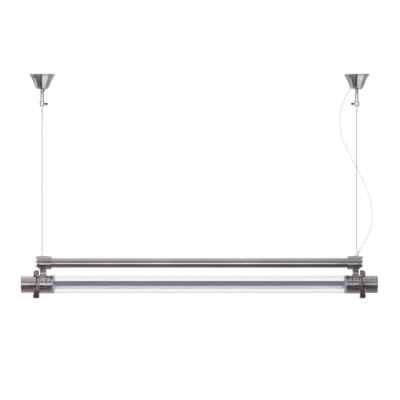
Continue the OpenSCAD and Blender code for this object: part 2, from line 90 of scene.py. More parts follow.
def _noise(nt, co, scale, stretch=(1, 1, 1), detail=3.0, rough=0.55, turn=(0, 0, 0)):
    mp = nt.nodes.new("ShaderNodeMapping")
    mp.inputs["Scale"].default_value = stretch
    mp.inputs["Rotation"].default_value = turn
    nt.links.new(co.outputs["Object"], mp.inputs["Vector"])
    n = nt.nodes.new("ShaderNodeTexNoise")
    n.inputs["Scale"].default_value = scale
    n.inputs["Detail"].default_value = detail
    n.inputs["Roughness"].default_value = rough
    nt.links.new(mp.outputs[0], n.inputs["Vector"])
    return n.outputs["Fac"]


def _ramp(nt, fac, stops):
    r = nt.nodes.new("ShaderNodeValToRGB")
    e = r.color_ramp.elements
    while len(e) > 1:
        e.remove(e[-1])
    for i, (p, c) in enumerate(stops):
        if i == 0:
            e[0].position = p
        el = e[0] if i == 0 else e.new(p)
        el.color = (c, c, c, 1) if isinstance(c, (int, float)) else (*c, 1)
    nt.links.new(fac, r.inputs[0])
    return r.outputs[0]


def _bump(nt, b, parts):
    """parts: (height output, strength, distance in metres), chained"""
    last = None
    for h, s, d in parts:
        bp = nt.nodes.new("ShaderNodeBump")
        bp.inputs["Strength"].default_value = s
        bp.inputs["Distance"].default_value = d
        nt.links.new(h, bp.inputs["Height"])
        if last is not None:
            nt.links.new(last, bp.inputs["Normal"])
        last = bp.outputs[0]
    nt.links.new(last, b.inputs["Normal"])


def metal(name, dark, light, rough, spread, wave=0.25, streak=(1, 1, 1), fine=900, edge=0.0, blotch=22, fleck=0.0):
    """Polished or brushed metal: cloudy tone, uneven gloss, slight waves and fine scratches"""
    m, nt, b, co = _nodes(name)
    b.inputs["Metallic"].default_value = 1.0
    cloud = _noise(nt, co, blotch, detail=4)
    tone = _ramp(nt, cloud, [(0.28, dark), (0.72, light)])
    if edge > 0:
        geo = nt.nodes.new("ShaderNodeNewGeometry")
        e = _ramp(nt, geo.outputs["Pointiness"], [(0.44, 0.0), (0.5, 0.5), (0.56, 1.0)])
        mx = nt.nodes.new("ShaderNodeMix")
        mx.data_type = "RGBA"
        mx.blend_type = "SOFT_LIGHT"
        mx.inputs[0].default_value = edge
        nt.links.new(tone, mx.inputs[6])
        nt.links.new(e, mx.inputs[7])
        tone = mx.outputs[2]
    nt.links.new(tone, b.inputs["Base Color"])
    scratch = _noise(nt, co, fine, streak, detail=2)
    mixr = nt.nodes.new("ShaderNodeMath")
    mixr.operation = "MULTIPLY"
    nt.links.new(cloud, mixr.inputs[0])
    nt.links.new(scratch, mixr.inputs[1])
    nt.links.new(_ramp(nt, mixr.outputs[0], [(0.12, rough - spread), (0.42, rough + spread)]), b.inputs["Roughness"])
    _bump(nt, b, [(_noise(nt, co, 55, detail=1), wave, 0.0006), (scratch, 0.06, 0.00006)])
    return m


def plastic(name, dark, light, rough, grain=700, bump=0.12, spread=0.06, blotch=14, sss=0.0, trans=0.0, ior=1.5, clear_rough=None):
    """Moulded plastic or rubber: faint mottling, fine grain"""
    m, nt, b, co = _nodes(name)
    cloud = _noise(nt, co, blotch, detail=3)
    nt.links.new(_ramp(nt, cloud, [(0.3, dark), (0.7, light)]), b.inputs["Base Color"])
    g = _noise(nt, co, grain, detail=2)
    nt.links.new(_ramp(nt, g, [(0.3, rough - spread), (0.7, rough + spread)]), b.inputs["Roughness"])
    b.inputs["IOR"].default_value = ior
    if sss:
        b.inputs["Subsurface Weight"].default_value = sss
        b.inputs["Subsurface Radius"].default_value = (0.004, 0.004, 0.005)
        b.inputs["Subsurface Scale"].default_value = 1.0
    if trans:
        b.inputs["Transmission Weight"].default_value = trans
    _bump(nt, b, [(g, bump, 0.00008)])
    return m


M = {}
M["nickel"] = metal("polished_nickel_cast", (0.52, 0.490, 0.490), (0.66, 0.628, 0.630), 0.15, 0.05, wave=0.30, fine=500, edge=0.35)


def paint_light_and_shade(m):
    """Painted light and shade on the castings: the clamp flanges under the ends are painted a darker purplish grey, a
    painted shade; the hinge ears are tinted a little darker; a painted shadow line stays beside the arm's foot; the arm
    is darker at its waist, and brighter at its neck, a painted highlight
    """
    nt = m.node_tree
    b = nt.nodes["Principled BSDF"]
    co = nt.nodes.new("ShaderNodeTexCoord")
    sep = nt.nodes.new("ShaderNodeSeparateXYZ")
    nt.links.new(co.outputs["Object"], sep.inputs[0])
    ab = nt.nodes.new("ShaderNodeMath")
    ab.operation = "ABSOLUTE"
    nt.links.new(sep.outputs["X"], ab.inputs[0])

    def between(sock, lo, hi, soft):
        n = nt.nodes.new("ShaderNodeMapRange")
        n.interpolation_type = "SMOOTHSTEP"
        n.inputs["From Min"].default_value = lo - soft
        n.inputs["From Max"].default_value = lo + soft
        nt.links.new(sock, n.inputs["Value"])
        k = nt.nodes.new("ShaderNodeMapRange")
        k.interpolation_type = "SMOOTHSTEP"
        k.inputs["From Min"].default_value = hi + soft
        k.inputs["From Max"].default_value = hi - soft
        nt.links.new(sock, k.inputs["Value"])
        p = nt.nodes.new("ShaderNodeMath")
        p.operation = "MULTIPLY"
        nt.links.new(n.outputs[0], p.inputs[0])
        nt.links.new(k.outputs[0], p.inputs[1])
        return p.outputs[0]

    last = b.inputs["Base Color"].links[0].from_socket
    # painted shade on the flanges, a darker tint on the hinge ears, a painted shadow line by the arm's foot, the arm's
    # waist darker, a painted highlight on its neck
    areas = ((0.5850, 0.6032, 0.0006, -0.83, -0.7685, (0.90, 0.79, 0.92)), (0.5860, 0.6060, 0.0006, -0.7350, -0.70, (0.84, 0.83, 0.86)),
             (0.5564, 0.5583, 0.0004, -0.7650, -0.7310, (0.36, 0.35, 0.37)),
             (0.5570, 0.5830, 0.0006, -0.7256, -0.7188, (0.50, 0.49, 0.51)), (0.5570, 0.5830, 0.0006, -0.7125, -0.7045, (1.36, 1.34, 1.40)))
    for x0, x1, soft, z0, z1, tint in areas:
        area_mask = nt.nodes.new("ShaderNodeMath")
        area_mask.operation = "MULTIPLY"
        nt.links.new(between(ab.outputs[0], x0, x1, soft), area_mask.inputs[0])
        nt.links.new(between(sep.outputs["Z"], z0, z1, 0.0012), area_mask.inputs[1])
        mx = nt.nodes.new("ShaderNodeMix")
        mx.data_type = "RGBA"
        mx.blend_type = "MULTIPLY"
        nt.links.new(area_mask.outputs[0], mx.inputs[0])
        nt.links.new(last, mx.inputs[6])
        mx.inputs[7].default_value = (*tint, 1)
        last = mx.outputs[2]
    nt.links.new(last, b.inputs["Base Color"])


paint_light_and_shade(M["nickel"])
M["nickel_tube"] = metal("polished_nickel_drawn", (0.56, 0.528, 0.530), (0.67, 0.636, 0.642), 0.12, 0.04, wave=0.05, streak=(0.06, 1, 1), fine=1400, blotch=9)
M["stud"] = metal("darkened_nickel_stud", (0.20, 0.18, 0.20), (0.32, 0.29, 0.31), 0.26, 0.06, wave=0.1, fine=900, blotch=120)
M["canopy"] = metal("polished_nickel_spun", (0.60, 0.60, 0.575), (0.72, 0.715, 0.69), 0.17, 0.05, wave=0.06, fine=800, blotch=30)


def fold_painted_shade(m):
    """Painted shade in the four folds of a canopy, where the two walls meet: the colour darkens towards each fold"""
    nt = m.node_tree
    b = nt.nodes["Principled BSDF"]
    co = nt.nodes.new("ShaderNodeTexCoord")
    sep = nt.nodes.new("ShaderNodeSeparateXYZ")
    nt.links.new(co.outputs["Object"], sep.inputs[0])

    def math_node(op, a, v=None):
        n = nt.nodes.new("ShaderNodeMath")
        n.operation = op
        nt.links.new(a, n.inputs[0])
        if v is not None:
            if isinstance(v, float):
                n.inputs[1].default_value = v
            else:
                nt.links.new(v, n.inputs[1])
        return n.outputs[0]

    turn = math_node("SIGN", sep.outputs["X"])
    from_axis = math_node("SUBTRACT", math_node("ABSOLUTE", sep.outputs["X"]), 0.574)
    along = math_node("ABSOLUTE", math_node("ADD", math_node("MULTIPLY", from_axis, turn), 0.0012))
    near = math_node("MINIMUM", along, math_node("ABSOLUTE", sep.outputs["Y"]))
    # painted shade, darkest at the fold
    mask = _ramp(nt, math_node("MULTIPLY", near, 100.0), [(0.06, 0.26), (0.16, 0.42), (0.34, 0.80), (0.60, 1.0)])
    old = b.inputs["Base Color"].links[0].from_socket
    mx = nt.nodes.new("ShaderNodeMix")
    mx.data_type = "RGBA"
    mx.blend_type = "MULTIPLY"
    mx.inputs[0].default_value = 1
    nt.links.new(old, mx.inputs[6])
    nt.links.new(mask, mx.inputs[7])
    nt.links.new(mx.outputs[2], b.inputs["Base Color"])


fold_painted_shade(M["canopy"])
M["chrome"] = metal("bright_chrome", (0.80, 0.79, 0.80), (0.90, 0.89, 0.90), 0.09, 0.03, wave=0.05, fine=1200)
M["satin"] = metal("satin_steel", (0.84, 0.84, 0.85), (0.94, 0.94, 0.95), 0.42, 0.07, wave=0.0, fine=900, blotch=120)
M["satin"].node_tree.nodes["Principled BSDF"].inputs["Metallic"].default_value = 0.35
M["screw"] = metal("stainless_screw", (0.62, 0.62, 0.63), (0.76, 0.76, 0.77), 0.34, 0.07, wave=0.0, fine=900, blotch=120)
M["screw"].node_tree.nodes["Principled BSDF"].inputs["Metallic"].default_value = 0.75
M["zinc"] = metal("zinc_steel", (0.50, 0.51, 0.53), (0.68, 0.69, 0.71), 0.36, 0.10, wave=0.1, fine=300, blotch=180)
M["wire"] = metal("steel_wire_strands", (0.24, 0.24, 0.245), (0.36, 0.36, 0.365), 0.28, 0.06, wave=0.0, fine=2500, blotch=60)
M["black"] = metal("blackened_steel", (0.045, 0.043, 0.045), (0.12, 0.115, 0.12), 0.34, 0.10, wave=0.1, fine=900, blotch=140)
M["tray"] = metal("brushed_aluminium_tray", (0.61, 0.63, 0.69), (0.71, 0.73, 0.79), 0.34, 0.06, wave=0.0, streak=(0.002, 1, 1), fine=2200, blotch=3)
M["alu"] = metal("brushed_aluminium", (0.60, 0.61, 0.63), (0.74, 0.75, 0.77), 0.30, 0.07, wave=0.0, streak=(0.002, 1, 1), fine=2200, blotch=8)
M["brass"] = metal("contact_brass", (0.62, 0.44, 0.18), (0.86, 0.66, 0.32), 0.24, 0.08, wave=0.05, fine=1500, blotch=200)
M["white"] = plastic("white_moulded_plastic", (0.74, 0.74, 0.71), (0.84, 0.84, 0.81), 0.42)
M["lead"] = plastic("lead_sheath", (0.76, 0.76, 0.75), (0.86, 0.86, 0.85), 0.48, grain=500)
M["cord"] = plastic("cord_sheath", (0.79, 0.79, 0.79), (0.86, 0.86, 0.86), 0.46, grain=420, bump=0.2, sss=0.12)
M["rubber"] = plastic("black_rubber", (0.018, 0.018, 0.018), (0.05, 0.05, 0.05), 0.62, grain=600, bump=0.3)
M["seal"] = plastic("seal_silicone", (0.86, 0.855, 0.90), (0.93, 0.925, 0.96), 0.26, grain=300, bump=0.04, spread=0.03, trans=0.85, ior=1.41)
M["gland"] = plastic("clear_plastic", (0.90, 0.905, 0.91), (0.96, 0.965, 0.965), 0.34, grain=300, trans=0.25, ior=1.47)
M["diffuser"] = plastic("milky_diffuser", (0.69, 0.73, 0.91), (0.75, 0.785, 0.95), 0.34, grain=260, bump=0.05, sss=0.25, blotch=4)
M["board"] = plastic("circuit_board_white", (0.82, 0.82, 0.76), (0.92, 0.92, 0.86), 0.38, blotch=60)
M["tube_cap"] = plastic("tube_end_cap_plastic", (0.72, 0.72, 0.73), (0.82, 0.82, 0.83), 0.32)


def glass_material():
    """Clear glass, a little greyer where it is seen edge on"""
    m, nt, b, co = _nodes("clear_glass")
    film = _ramp(nt, _noise(nt, co, 8, (0.2, 1, 1), detail=2), [(0.3, (0.972, 0.975, 0.982)), (0.7, (0.99, 0.99, 0.994))])
    lw = nt.nodes.new("ShaderNodeLayerWeight")
    lw.inputs["Blend"].default_value = 0.5
    edge = _ramp(nt, lw.outputs["Facing"], [(0.20, 1.0), (0.42, (0.975, 0.972, 0.98)), (0.62, (0.92, 0.915, 0.93)), (0.85, (0.84, 0.83, 0.86))])
    mx = nt.nodes.new("ShaderNodeMix")
    mx.data_type = "RGBA"
    mx.blend_type = "MULTIPLY"
    mx.inputs[0].default_value = 1
    nt.links.new(film, mx.inputs[6])
    nt.links.new(edge, mx.inputs[7])
    nt.links.new(mx.outputs[2], b.inputs["Base Color"])
    nt.links.new(_ramp(nt, _noise(nt, co, 40, (0.2, 1, 1), detail=2), [(0.35, 0.0), (0.8, 0.012)]), b.inputs["Roughness"])
    b.inputs["Transmission Weight"].default_value = 1.0
    b.inputs["IOR"].default_value = 1.46
    _bump(nt, b, [(_noise(nt, co, 12, (0.1, 1, 1), detail=0), 0.004, 0.0004)])
    return m


M["glass"] = glass_material()


# ---------------------------------------------------------------- making meshes
def piece(name, shape, mat, body, replaces=(), sharp=38.0, normals=None, recalc=True):
    """A closed mesh in millimetres becomes a piece that rides on a CAD body"""
    v, f = shape
    me = bpy.data.meshes.new(name)
    me.from_pydata((np.asarray(v, float) * MM).tolist(), [], [tuple(int(i) for i in q) for q in f])
    me.update()
    if recalc:
        bm = bmesh.new()
        bm.from_mesh(me)
        bmesh.ops.recalc_face_normals(bm, faces=bm.faces)
        bm.to_mesh(me)
        bm.free()
    me.materials.append(M[mat])
    o = bpy.data.objects.new(name, me)
    bpy.context.scene.collection.objects.link(o)
    for p in me.polygons:
        p.use_smooth = True
    if normals is not None:
        me.normals_split_custom_set_from_vertices([tuple(n) for n in normals])
    elif sharp is not None:
        me.set_sharp_from_angle(angle=math.radians(sharp))
    if body:
        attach(o, body)
    if replaces:
        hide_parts(*replaces)
    return o


def rnd(pts, closed=False, k=3):
    """Points (t, r) or (t, r, fillet) as a line with rounded corners"""
    out, n = [], len(pts)
    for i, p in enumerate(pts):
        fr = p[2] if len(p) > 2 else 0
        if fr <= 0 or (not closed and i in (0, n - 1)):
            out.append((p[0], p[1]))
            continue
        a, b, c = (np.array(pts[j % n][:2], float) for j in (i - 1, i, i + 1))
        u, w = a - b, c - b
        lu, lw = np.linalg.norm(u), np.linalg.norm(w)
        u, w = u / lu, w / lw
        half = math.acos(max(-1, min(1, float(u @ w)))) / 2
        d = min(fr / max(math.tan(half), 1e-3), 0.48 * lu, 0.48 * lw)
        for j in range(k + 1):
            t = j / k
            q = (1 - t) ** 2 * (b + u * d) + 2 * t * (1 - t) * b + t * t * (b + w * d)
            out.append((float(q[0]), float(q[1])))
    return out


def lathe(prof, n=64, axis="x", at=(0, 0, 0), mod=None):
    """A profile of (t, r) points turned about an axis. It closes on the axis, or on itself as a ring"""
    rings, v = [], []
    ang = 2 * math.pi * np.arange(n) / n
    for t, r in prof:
        if r < 1e-6:
            rings.append([len(v)])
            v.append((t, 0.0, 0.0))
        else:
            rings.append(list(range(len(v), len(v) + n)))
            rr = np.full(n, r) if mod is None else r + np.array([mod(t, r, a) for a in ang])
            v += [(t, float(q * math.cos(a)), float(q * math.sin(a))) for q, a in zip(rr, ang)]
    pairs = list(zip(rings, rings[1:]))
    if len(rings[0]) > 1 and len(rings[-1]) > 1:
        pairs.append((rings[-1], rings[0]))
    f = []
    for a, b in pairs:
        if len(a) == 1 and len(b) == 1:
            continue
        for i in range(n):
            j = (i + 1) % n
            if len(a) == 1:
                f.append((a[0], b[i], b[j]))
            elif len(b) == 1:
                f.append((a[i], b[0], a[j]))
            else:
                f.append((a[i], b[i], b[j], a[j]))
    v = np.array(v, float)
    if axis == "z":
        v = v[:, [1, 2, 0]]
    elif axis == "y":
        v = v[:, [2, 0, 1]]
    return v + np.array(at, float), f


def join(*shapes):
    v, f, k = [], [], 0
    for a, b in shapes:
        v.append(np.asarray(a, float))
        f += [tuple(i + k for i in q) for q in b]
        k += len(a)
    return np.vstack(v), f


def mirror(shape, s):
    v, f = shape
    if s > 0:
        return v, f
    v = np.array(v, float)
    v[:, 0] *= -1
    return v, [tuple(reversed(q)) for q in f]


def catmull(p, k):
    p = np.asarray(p, float)
    n, out = len(p) - 1, []
    for i in range(n):
        a, b, c, d = p[max(i - 1, 0)], p[i], p[i + 1], p[min(i + 2, n)]
        for j in range(k):
            t = j / k
            out.append(0.5 * (2 * b + (c - a) * t + (2 * a - 5 * b + 4 * c - d) * t * t + (3 * b - a - 3 * c + d) * t ** 3))
    out.append(p[-1])
    return np.array(out)


def sweep(path, r, n=12, t0=None, t1=None, radii=None):
    """A round tube along a line, with closed ends"""
    p = np.asarray(path, float)
    m = len(p)
    tan = np.gradient(p, axis=0)
    if t0 is not None:
        tan[0] = t0
    if t1 is not None:
        tan[-1] = t1
    tan /= np.linalg.norm(tan, axis=1)[:, None]
    ref = np.array([0, 1.0, 0]) if abs(tan[0][1]) < 0.9 else np.array([1.0, 0, 0])
    u = np.cross(ref, tan[0])
    u /= np.linalg.norm(u)
    ang = 2 * math.pi * np.arange(n) / n
    v = []
    for i in range(m):
        u = u - tan[i] * (u @ tan[i])
        u /= np.linalg.norm(u)
        w = np.cross(tan[i], u)
        rr = r if radii is None else radii[i]
        v.append(p[i] + rr * (np.cos(ang)[:, None] * u + np.sin(ang)[:, None] * w))
    v = np.vstack(v + [p[:1], p[-1:]])
    f = []
    for i in range(m - 1):
        for k in range(n):
            q = (k + 1) % n
            f.append((i * n + k, i * n + q, (i + 1) * n + q, (i + 1) * n + k))
    for k in range(n):
        q = (k + 1) % n
        f.append((m * n, q, k))
        f.append((m * n + 1, (m - 1) * n + k, (m - 1) * n + q))
    return v, f


def bar(outline, xs):
    """An outline of (y, z) points carried along X through the stations xs, with flat ends"""
    n = len(outline)
    v = [(x, y, z) for x in xs for y, z in outline]
    f = [(i * n + k, (i + 1) * n + k, (i + 1) * n + (k + 1) % n, i * n + (k + 1) % n) for i in range(len(xs) - 1) for k in range(n)]
    f.append(tuple(range(n)))
    f.append(tuple((len(xs) - 1) * n + k for k in reversed(range(n))))
    return np.array(v, float), f


# Distance fields, in millimetres: negative inside. They give cast shapes with true fillets.
def smin(a, b, k):
    h = np.maximum(k - np.abs(a - b), 0) / k
    return np.minimum(a, b) - h * h * k * 0.25


def smax(a, b, k):
    return -smin(-a, -b, k)


def box2(x, y, x0, x1, y0, y1, r):
    dx = np.abs(x - (x0 + x1) / 2) - (x1 - x0) / 2 + r
    dy = np.abs(y - (y0 + y1) / 2) - (y1 - y0) / 2 + r
    return np.minimum(np.maximum(dx, dy), 0) + np.hypot(np.maximum(dx, 0), np.maximum(dy, 0)) - r


def box3(x, y, z, lo, hi, r):
    d = [np.abs(c - (a + b) / 2) - (b - a) / 2 + r for c, a, b in zip((x, y, z), lo, hi)]
    out = np.sqrt(sum(np.maximum(c, 0) ** 2 for c in d))
    return np.minimum(np.maximum(np.maximum(d[0], d[1]), d[2]), 0) + out - r


def rad(a, b, a0=0.0, b0=0.0):
    return np.hypot(a - a0, b - b0)


def field(f, lo, hi, h, steps=3):
    """Quads over the zero surface of f, their points drawn onto it, and its true normals"""
    ax = [np.arange(lo[i] - 1.5 * h, hi[i] + 1.5 * h + 1e-9, h) for i in range(3)]
    g = f(*np.meshgrid(*ax, indexing="ij")).astype(np.float64)
    s = g < 0
    shape = tuple(n - 1 for n in g.shape)
    pos = np.zeros(shape + (3,))
    cnt = np.zeros(shape)
    corner = [(i, j, k) for i in (0, 1) for j in (0, 1) for k in (0, 1)]

    def at(arr, c):
        return arr[c[0]:arr.shape[0] - 1 + c[0], c[1]:arr.shape[1] - 1 + c[1], c[2]:arr.shape[2] - 1 + c[2]]

    for a in corner:
        for d in range(3):
            if a[d] == 0:
                b = tuple(1 if i == d else a[i] for i in range(3))
                m = at(s, a) != at(s, b)
                ga, gb = at(g, a)[m], at(g, b)[m]
                t = ga / (ga - gb)
                for i in range(3):
                    pos[..., i][m] += a[i] + (t if i == d else 0)
                cnt[m] += 1
    act = cnt > 0
    idx = np.full(shape, -1, int)
    idx[act] = np.arange(act.sum())
    cell = np.argwhere(act)
    v = (pos[act] / cnt[act][:, None] + cell) * h + np.array([a[0] for a in ax])
    faces = []
    for d in range(3):
        e, w = [(1, 2), (2, 0), (0, 1)][d]
        lo_s = [slice(None)] * 3
        hi_s = [slice(None)] * 3
        lo_s[d], hi_s[d] = slice(0, -1), slice(1, None)
        a, b = s[tuple(lo_s)], s[tuple(hi_s)]
        ij = np.argwhere(a != b)
        ij = ij[(ij[:, e] > 0) & (ij[:, w] > 0) & (ij[:, e] < g.shape[e] - 1) & (ij[:, w] < g.shape[w] - 1)]
        inside = a[tuple(ij.T)]
        q = []
        for de, dw in ((0, 0), (1, 0), (1, 1), (0, 1)):
            c = ij.copy()
            c[:, e] -= de
            c[:, w] -= dw
            q.append(idx[tuple(c.T)])
        q = np.stack(q, 1)
        q[~inside] = q[~inside][:, ::-1]
        faces.append(q)
    faces = np.vstack(faces)

    def grad(p, e=0.02):
        return np.stack([(f(*(p + d).T) - f(*(p - d).T)) / (2 * e) for d in np.eye(3) * e], 1)

    start = v.copy()
    for _ in range(steps):
        n = grad(v)
        ln = np.maximum((n * n).sum(1), 0.05)
        v = v - n * (np.clip(f(*v.T), -h, h) / ln)[:, None]
        off = v - start
        ld = np.linalg.norm(off, axis=1)
        far = ld > 0.8 * h
        v[far] = start[far] + off[far] * (0.8 * h / ld[far])[:, None]
    n = grad(v, 0.05)
    n /= np.maximum(np.linalg.norm(n, axis=1), 1e-9)[:, None]
    return v, faces, n


def cast(name, f, lo, hi, h, side, mat, body, replaces=()):
    """A field piece, drawn on the right-hand side and mirrored for the left"""
    v, q, n = field(f, lo, hi, h)
    if side < 0:
        v = v * [-1, 1, 1]
        n = n * [-1, 1, 1]
        q = q[:, ::-1]
    return piece(name, (v, q), mat, body, replaces, normals=n, recalc=False)


# ---------------------------------------------------------------- power cord
HANG = [
    (-12, 0, -30), (-13.5, 0, -36), (-17, 0, -43), (-22.5, 0.5, -51), (-30, 1, -62), (-39, 2, -77), (-47.5, 3, -97),
    (-54.5, 4.5, -119), (-59, 6, -142), (-61, 7, -165), (-61, 8, -187), (-58, 9, -209), (-52, 10, -231), (-44, 10.5, -253),
    (-34.5, 11, -275), (-23, 11.5, -297), (-11, 12, -319), (0.5, 12, -341), (11.5, 12, -363), (22, 12, -385), (31.5, 12, -407),
    (40.5, 12, -429), (48, 12, -451), (53.5, 12, -473), (57, 12, -495), (58.5, 12, -517), (57, 12, -539), (52.5, 12, -560),
    (45, 12, -581), (34.5, 12, -602), (23.5, 12, -622.5)]
far = G0 + 26 * GDIR
kz = (far[2] + 30) / (-643.95 + 30)
route = [(p[0] + XS, p[1], -30 + (p[2] + 30) * kz) for p in HANG] + [tuple(far)]
line = catmull(route, 9)
cord_shape = sweep(line, 2.5, 20, t0=(0, 0, -1), t1=-GDIR)
cord = piece("power_cord_sheath", cord_shape, "cord", None, sharp=None)
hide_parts("power_cord")
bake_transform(cord)


# ---------------------------------------------------------------- canopies
CAN = [(0, 1), (-1.6, 1.0), (-4.4, .985), (-7, .945), (-10, .905), (-13, .868), (-16, .832), (-19, .797), (-23, .753),
       (-30, .687), (-37, .622), (-43, .5675), (-48, .5215), (-51.5, .463), (-53.5, .39)]


LEAN = math.radians(22.6)


def lobes(a, c=28.0, r=15.9):
    """Radius of the four-lobed outline: a round corner, then a flat that steepens to the valley"""
    b = np.abs((a % (math.pi / 2)) - math.pi / 4)
    h = c * math.sqrt(2)
    bt = math.pi / 4 - math.atan((c - r * math.sin(LEAN)) / (c + r * math.cos(LEAN)))
    corner = h * np.cos(b) + np.sqrt(np.maximum(r * r - (h * np.sin(b)) ** 2, 0))
    flat = (c * (math.cos(LEAN) - math.sin(LEAN)) + r) / np.cos(math.pi / 4 - b + LEAN)
    out = np.where(b < bt, corner, flat)
    d = (math.pi / 4 - b) * 34     # millimetres from the valley
    return out - 1.2 * np.exp(-d / 4) + 0.25 * np.exp(-(d / 0.5) ** 2)


def canopy(side):
    n = 256
    a = 2 * math.pi * np.arange(n) / n
    fine = catmull(CAN[1:], 5)
    z_out = [0.0, -0.15, -0.45, -0.8, -1.2] + [float(p[0]) for p in fine]
    k_out = [0.9875, 0.9945, 0.9985, 1.0, 1.0] + [float(p[1]) for p in fine]
    v = []
    for z, k in zip(z_out, k_out):
        q = k * lobes(a)
        v.append(np.stack([q * np.cos(a), q * np.sin(a), np.full(n, z)], 1))
    # rolled lip of the hole in the bottom
    for r, z in ((14.5, -53.5), (12.6, -53.5), (12.15, -53.25), (12.0, -52.8), (12.0, -52.2), (12.2, -51.75), (12.6, -51.5), (15, -51.5)):
        w = np.clip((r - 12) / 3, 0, 1) * 0.25
        q = r * (1 - w) + w * 0.39 * lobes(a) * r / 17
        v.append(np.stack([q * np.cos(a), q * np.sin(a), np.full(n, z)], 1))
    for z, k in reversed(list(zip(z_out, k_out))):
        if z < -51.2:
            continue
        q = k * lobes(a, 28.0, 15.9 - 1.5 / max(k, 0.55)) - 0.12
        if z > -1.3:
            q = q + (0.35 if z > -0.1 else 0)
        v.append(np.stack([q * np.cos(a), q * np.sin(a), np.full(n, max(z, -51.5))], 1))
    m = len(v)
    v = np.vstack(v)
    f = [(i * n + k, ((i + 1) % m) * n + k, ((i + 1) % m) * n + (k + 1) % n, i * n + (k + 1) % n) for i in range(m) for k in range(n)]
    v[:, 0] += side * XS
    return v, f


def boolean(o, shapes, op="DIFFERENCE"):
    """Cuts closed shapes out of a piece, or adds them to it"""
    tools = []
    for i, s in enumerate(shapes):
        me = bpy.data.meshes.new("tool")
        me.from_pydata((np.asarray(s[0], float) * MM).tolist(), [], [tuple(int(k) for k in q) for q in s[1]])
        me.update()
        bm = bmesh.new()
        bm.from_mesh(me)
        bmesh.ops.recalc_face_normals(bm, faces=bm.faces)
        bm.to_mesh(me)
        bm.free()
        t = bpy.data.objects.new("tool%d" % i, me)
        bpy.context.scene.collection.objects.link(t)
        tools.append(t)
        md = o.modifiers.new("cut", "BOOLEAN")
        md.operation = op
        md.solver = "EXACT"
        md.object = t
    bpy.context.view_layer.update()
    dg = bpy.context.evaluated_depsgraph_get()
    new = bpy.data.meshes.new_from_object(o.evaluated_get(dg), preserve_all_data_layers=True, depsgraph=dg)
    o.modifiers.clear()
    old = o.data
    o.data = new
    bpy.data.meshes.remove(old)
    for t in tools:
        me = t.data
        bpy.data.objects.remove(t)
        bpy.data.meshes.remove(me)
    for p in o.data.polygons:
        p.use_smooth = True
    o.data.set_sharp_from_angle(angle=math.radians(38))
    return o


def block(lo, hi):
    x0, y0, z0 = lo
    x1, y1, z1 = hi
    v = [(x, y, z) for x in (x0, x1) for y in (y0, y1) for z in (z0, z1)]
    f = [(0, 1, 3, 2), (4, 6, 7, 5), (0, 4, 5, 1), (2, 3, 7, 6), (0, 2, 6, 4), (1, 5, 7, 3)]
    return v, f


for s, word in ((-1, "left"), (1, "right")):
    o = piece("canopy_shell_" + word, canopy(s), "canopy", word + "_canopy", ["canopy_" + word], sharp=30)
    if s > 0:
        boolean(o, [block((XS - 40, -3.6, -49.5), (XS - 10, 3.6, -20))])
    # side screw with a dished, slotted head
    head = lathe(rnd([(-41.6, 0), (-41.6, 2.2, 0.5), (-40.6, 2.9, 0.3), (-39.2, 2.9, 0.2), (-39.0, 2.0, 0.2), (-29.3, 2.0, 0.2), (-29.3, 0)]), 32, "y", (s * XS - 27, 0, -10))
    o = piece("canopy_side_screw_" + word, head, "black", word + "_canopy", ["canopy_screw_" + word])
    boolean(o, [block((s * XS - 27 - 0.35, -42, -13.5), (s * XS - 27 + 0.35, -40.9, -6.5))])


# ---------------------------------------------------------------- stems, locks, thumb screws, wires
def stem_f(x, y, z):
    x = x - XS
    r = rad(x, y)
    tube = box2(z, r, -103, -54, -9, 6, 0.9)
    tongue = smax(smin(rad(y, z, 0, Z_SWING) - 6, box2(y, z, -6, 6, -57, Z_SWING, 0.5), 0.5), np.abs(x) - 4, 0.9)
    d = smin(tube, tongue, 1.2)
    d = smin(d, smax(r - 6.0, np.abs(z + 60.5) - 0.5, 0.3), 0.4)
    d = smax(d, -smax(r - 4.4, z + 60, 0.4), 0.5)
    d = smax(d, -(rad(y, z, 0, Z_SWING) - 2.05), 0.4)
    return d


def lock_f(x, y, z):
    x = x - XS
    r = rad(x, y)
    d = box2(z, r, -117.5, -97.5, -9, 8.25, 0.9)
    # two turned grooves
    for zz in (-114.2, -100.8):
        d = smax(d, -(rad(r, z, 8.45, zz) - 0.55), 0.25)
    fork = smin(rad(x, z, 0, Z_LINK) - 3.4, box2(x, z, -3.4, 3.4, Z_LINK, -116, 0.2), 0.4)
    fork = smax(fork, np.abs(np.abs(y) - 2.9) - 0.9, 0.35)
    d = smin(d, fork, 0.8)
    # boss round the thumb screw
    d = smin(d, smax(rad(y, z, 0, -108) - 3.1, np.abs(x + 5) - 3.9, 0.4), 0.8)
    d = smax(d, -smax(r - 6.05, -103 - z, 0.3), 0.4)
    d = smax(d, -(rad(x, z, 0, Z_LINK) - 1.3), 0.25)
    d = smax(d, -smax(rad(y, z, 0, -108) - 1.55, x + 1, 0.2), 0.25)
    return d


def knurl(n, depth, lo, hi):
    return lambda t, r, a: (depth * (abs(((a * n / (2 * math.pi)) % 1) * 2 - 1) - 0.5) * 2 if lo <= t <= hi else 0.0)


def thumb_screw(s):
    prof = rnd([(-20.4, 0), (-20.4, 2.6, 0.3), (-19.7, 3.05, 0.2), (-19.4, 3.05), (-19.2, 3.45), (-12.9, 3.45), (-12.6, 3.1), (-11.0, 2.3, 0.3), (-9.4, 2.1, 0.2),
                (-9.4, 1.5, 0.1), (-2.4, 1.5, 0.2), (-2.0, 1.1), (-2.0, 0)])
    fine = []
    for a, b in zip(prof, prof[1:]):
        k = max(1, int(math.hypot(a[0] - b[0], a[1] - b[1]) / 0.9))
        fine += [(a[0] + (b[0] - a[0]) * i / k, a[1] + (b[1] - a[1]) * i / k) for i in range(k)]
    fine.append(prof[-1])
    v, f = lathe(fine, 96, "x", (0, 0, 0), mod=lambda t, r, a: (0.22 * math.cos(24 * a) if -19.25 <= t <= -12.85 and r > 3 else 0.0))
    v = v + np.array([XS, 0, -108])
    return mirror((v, f), s)


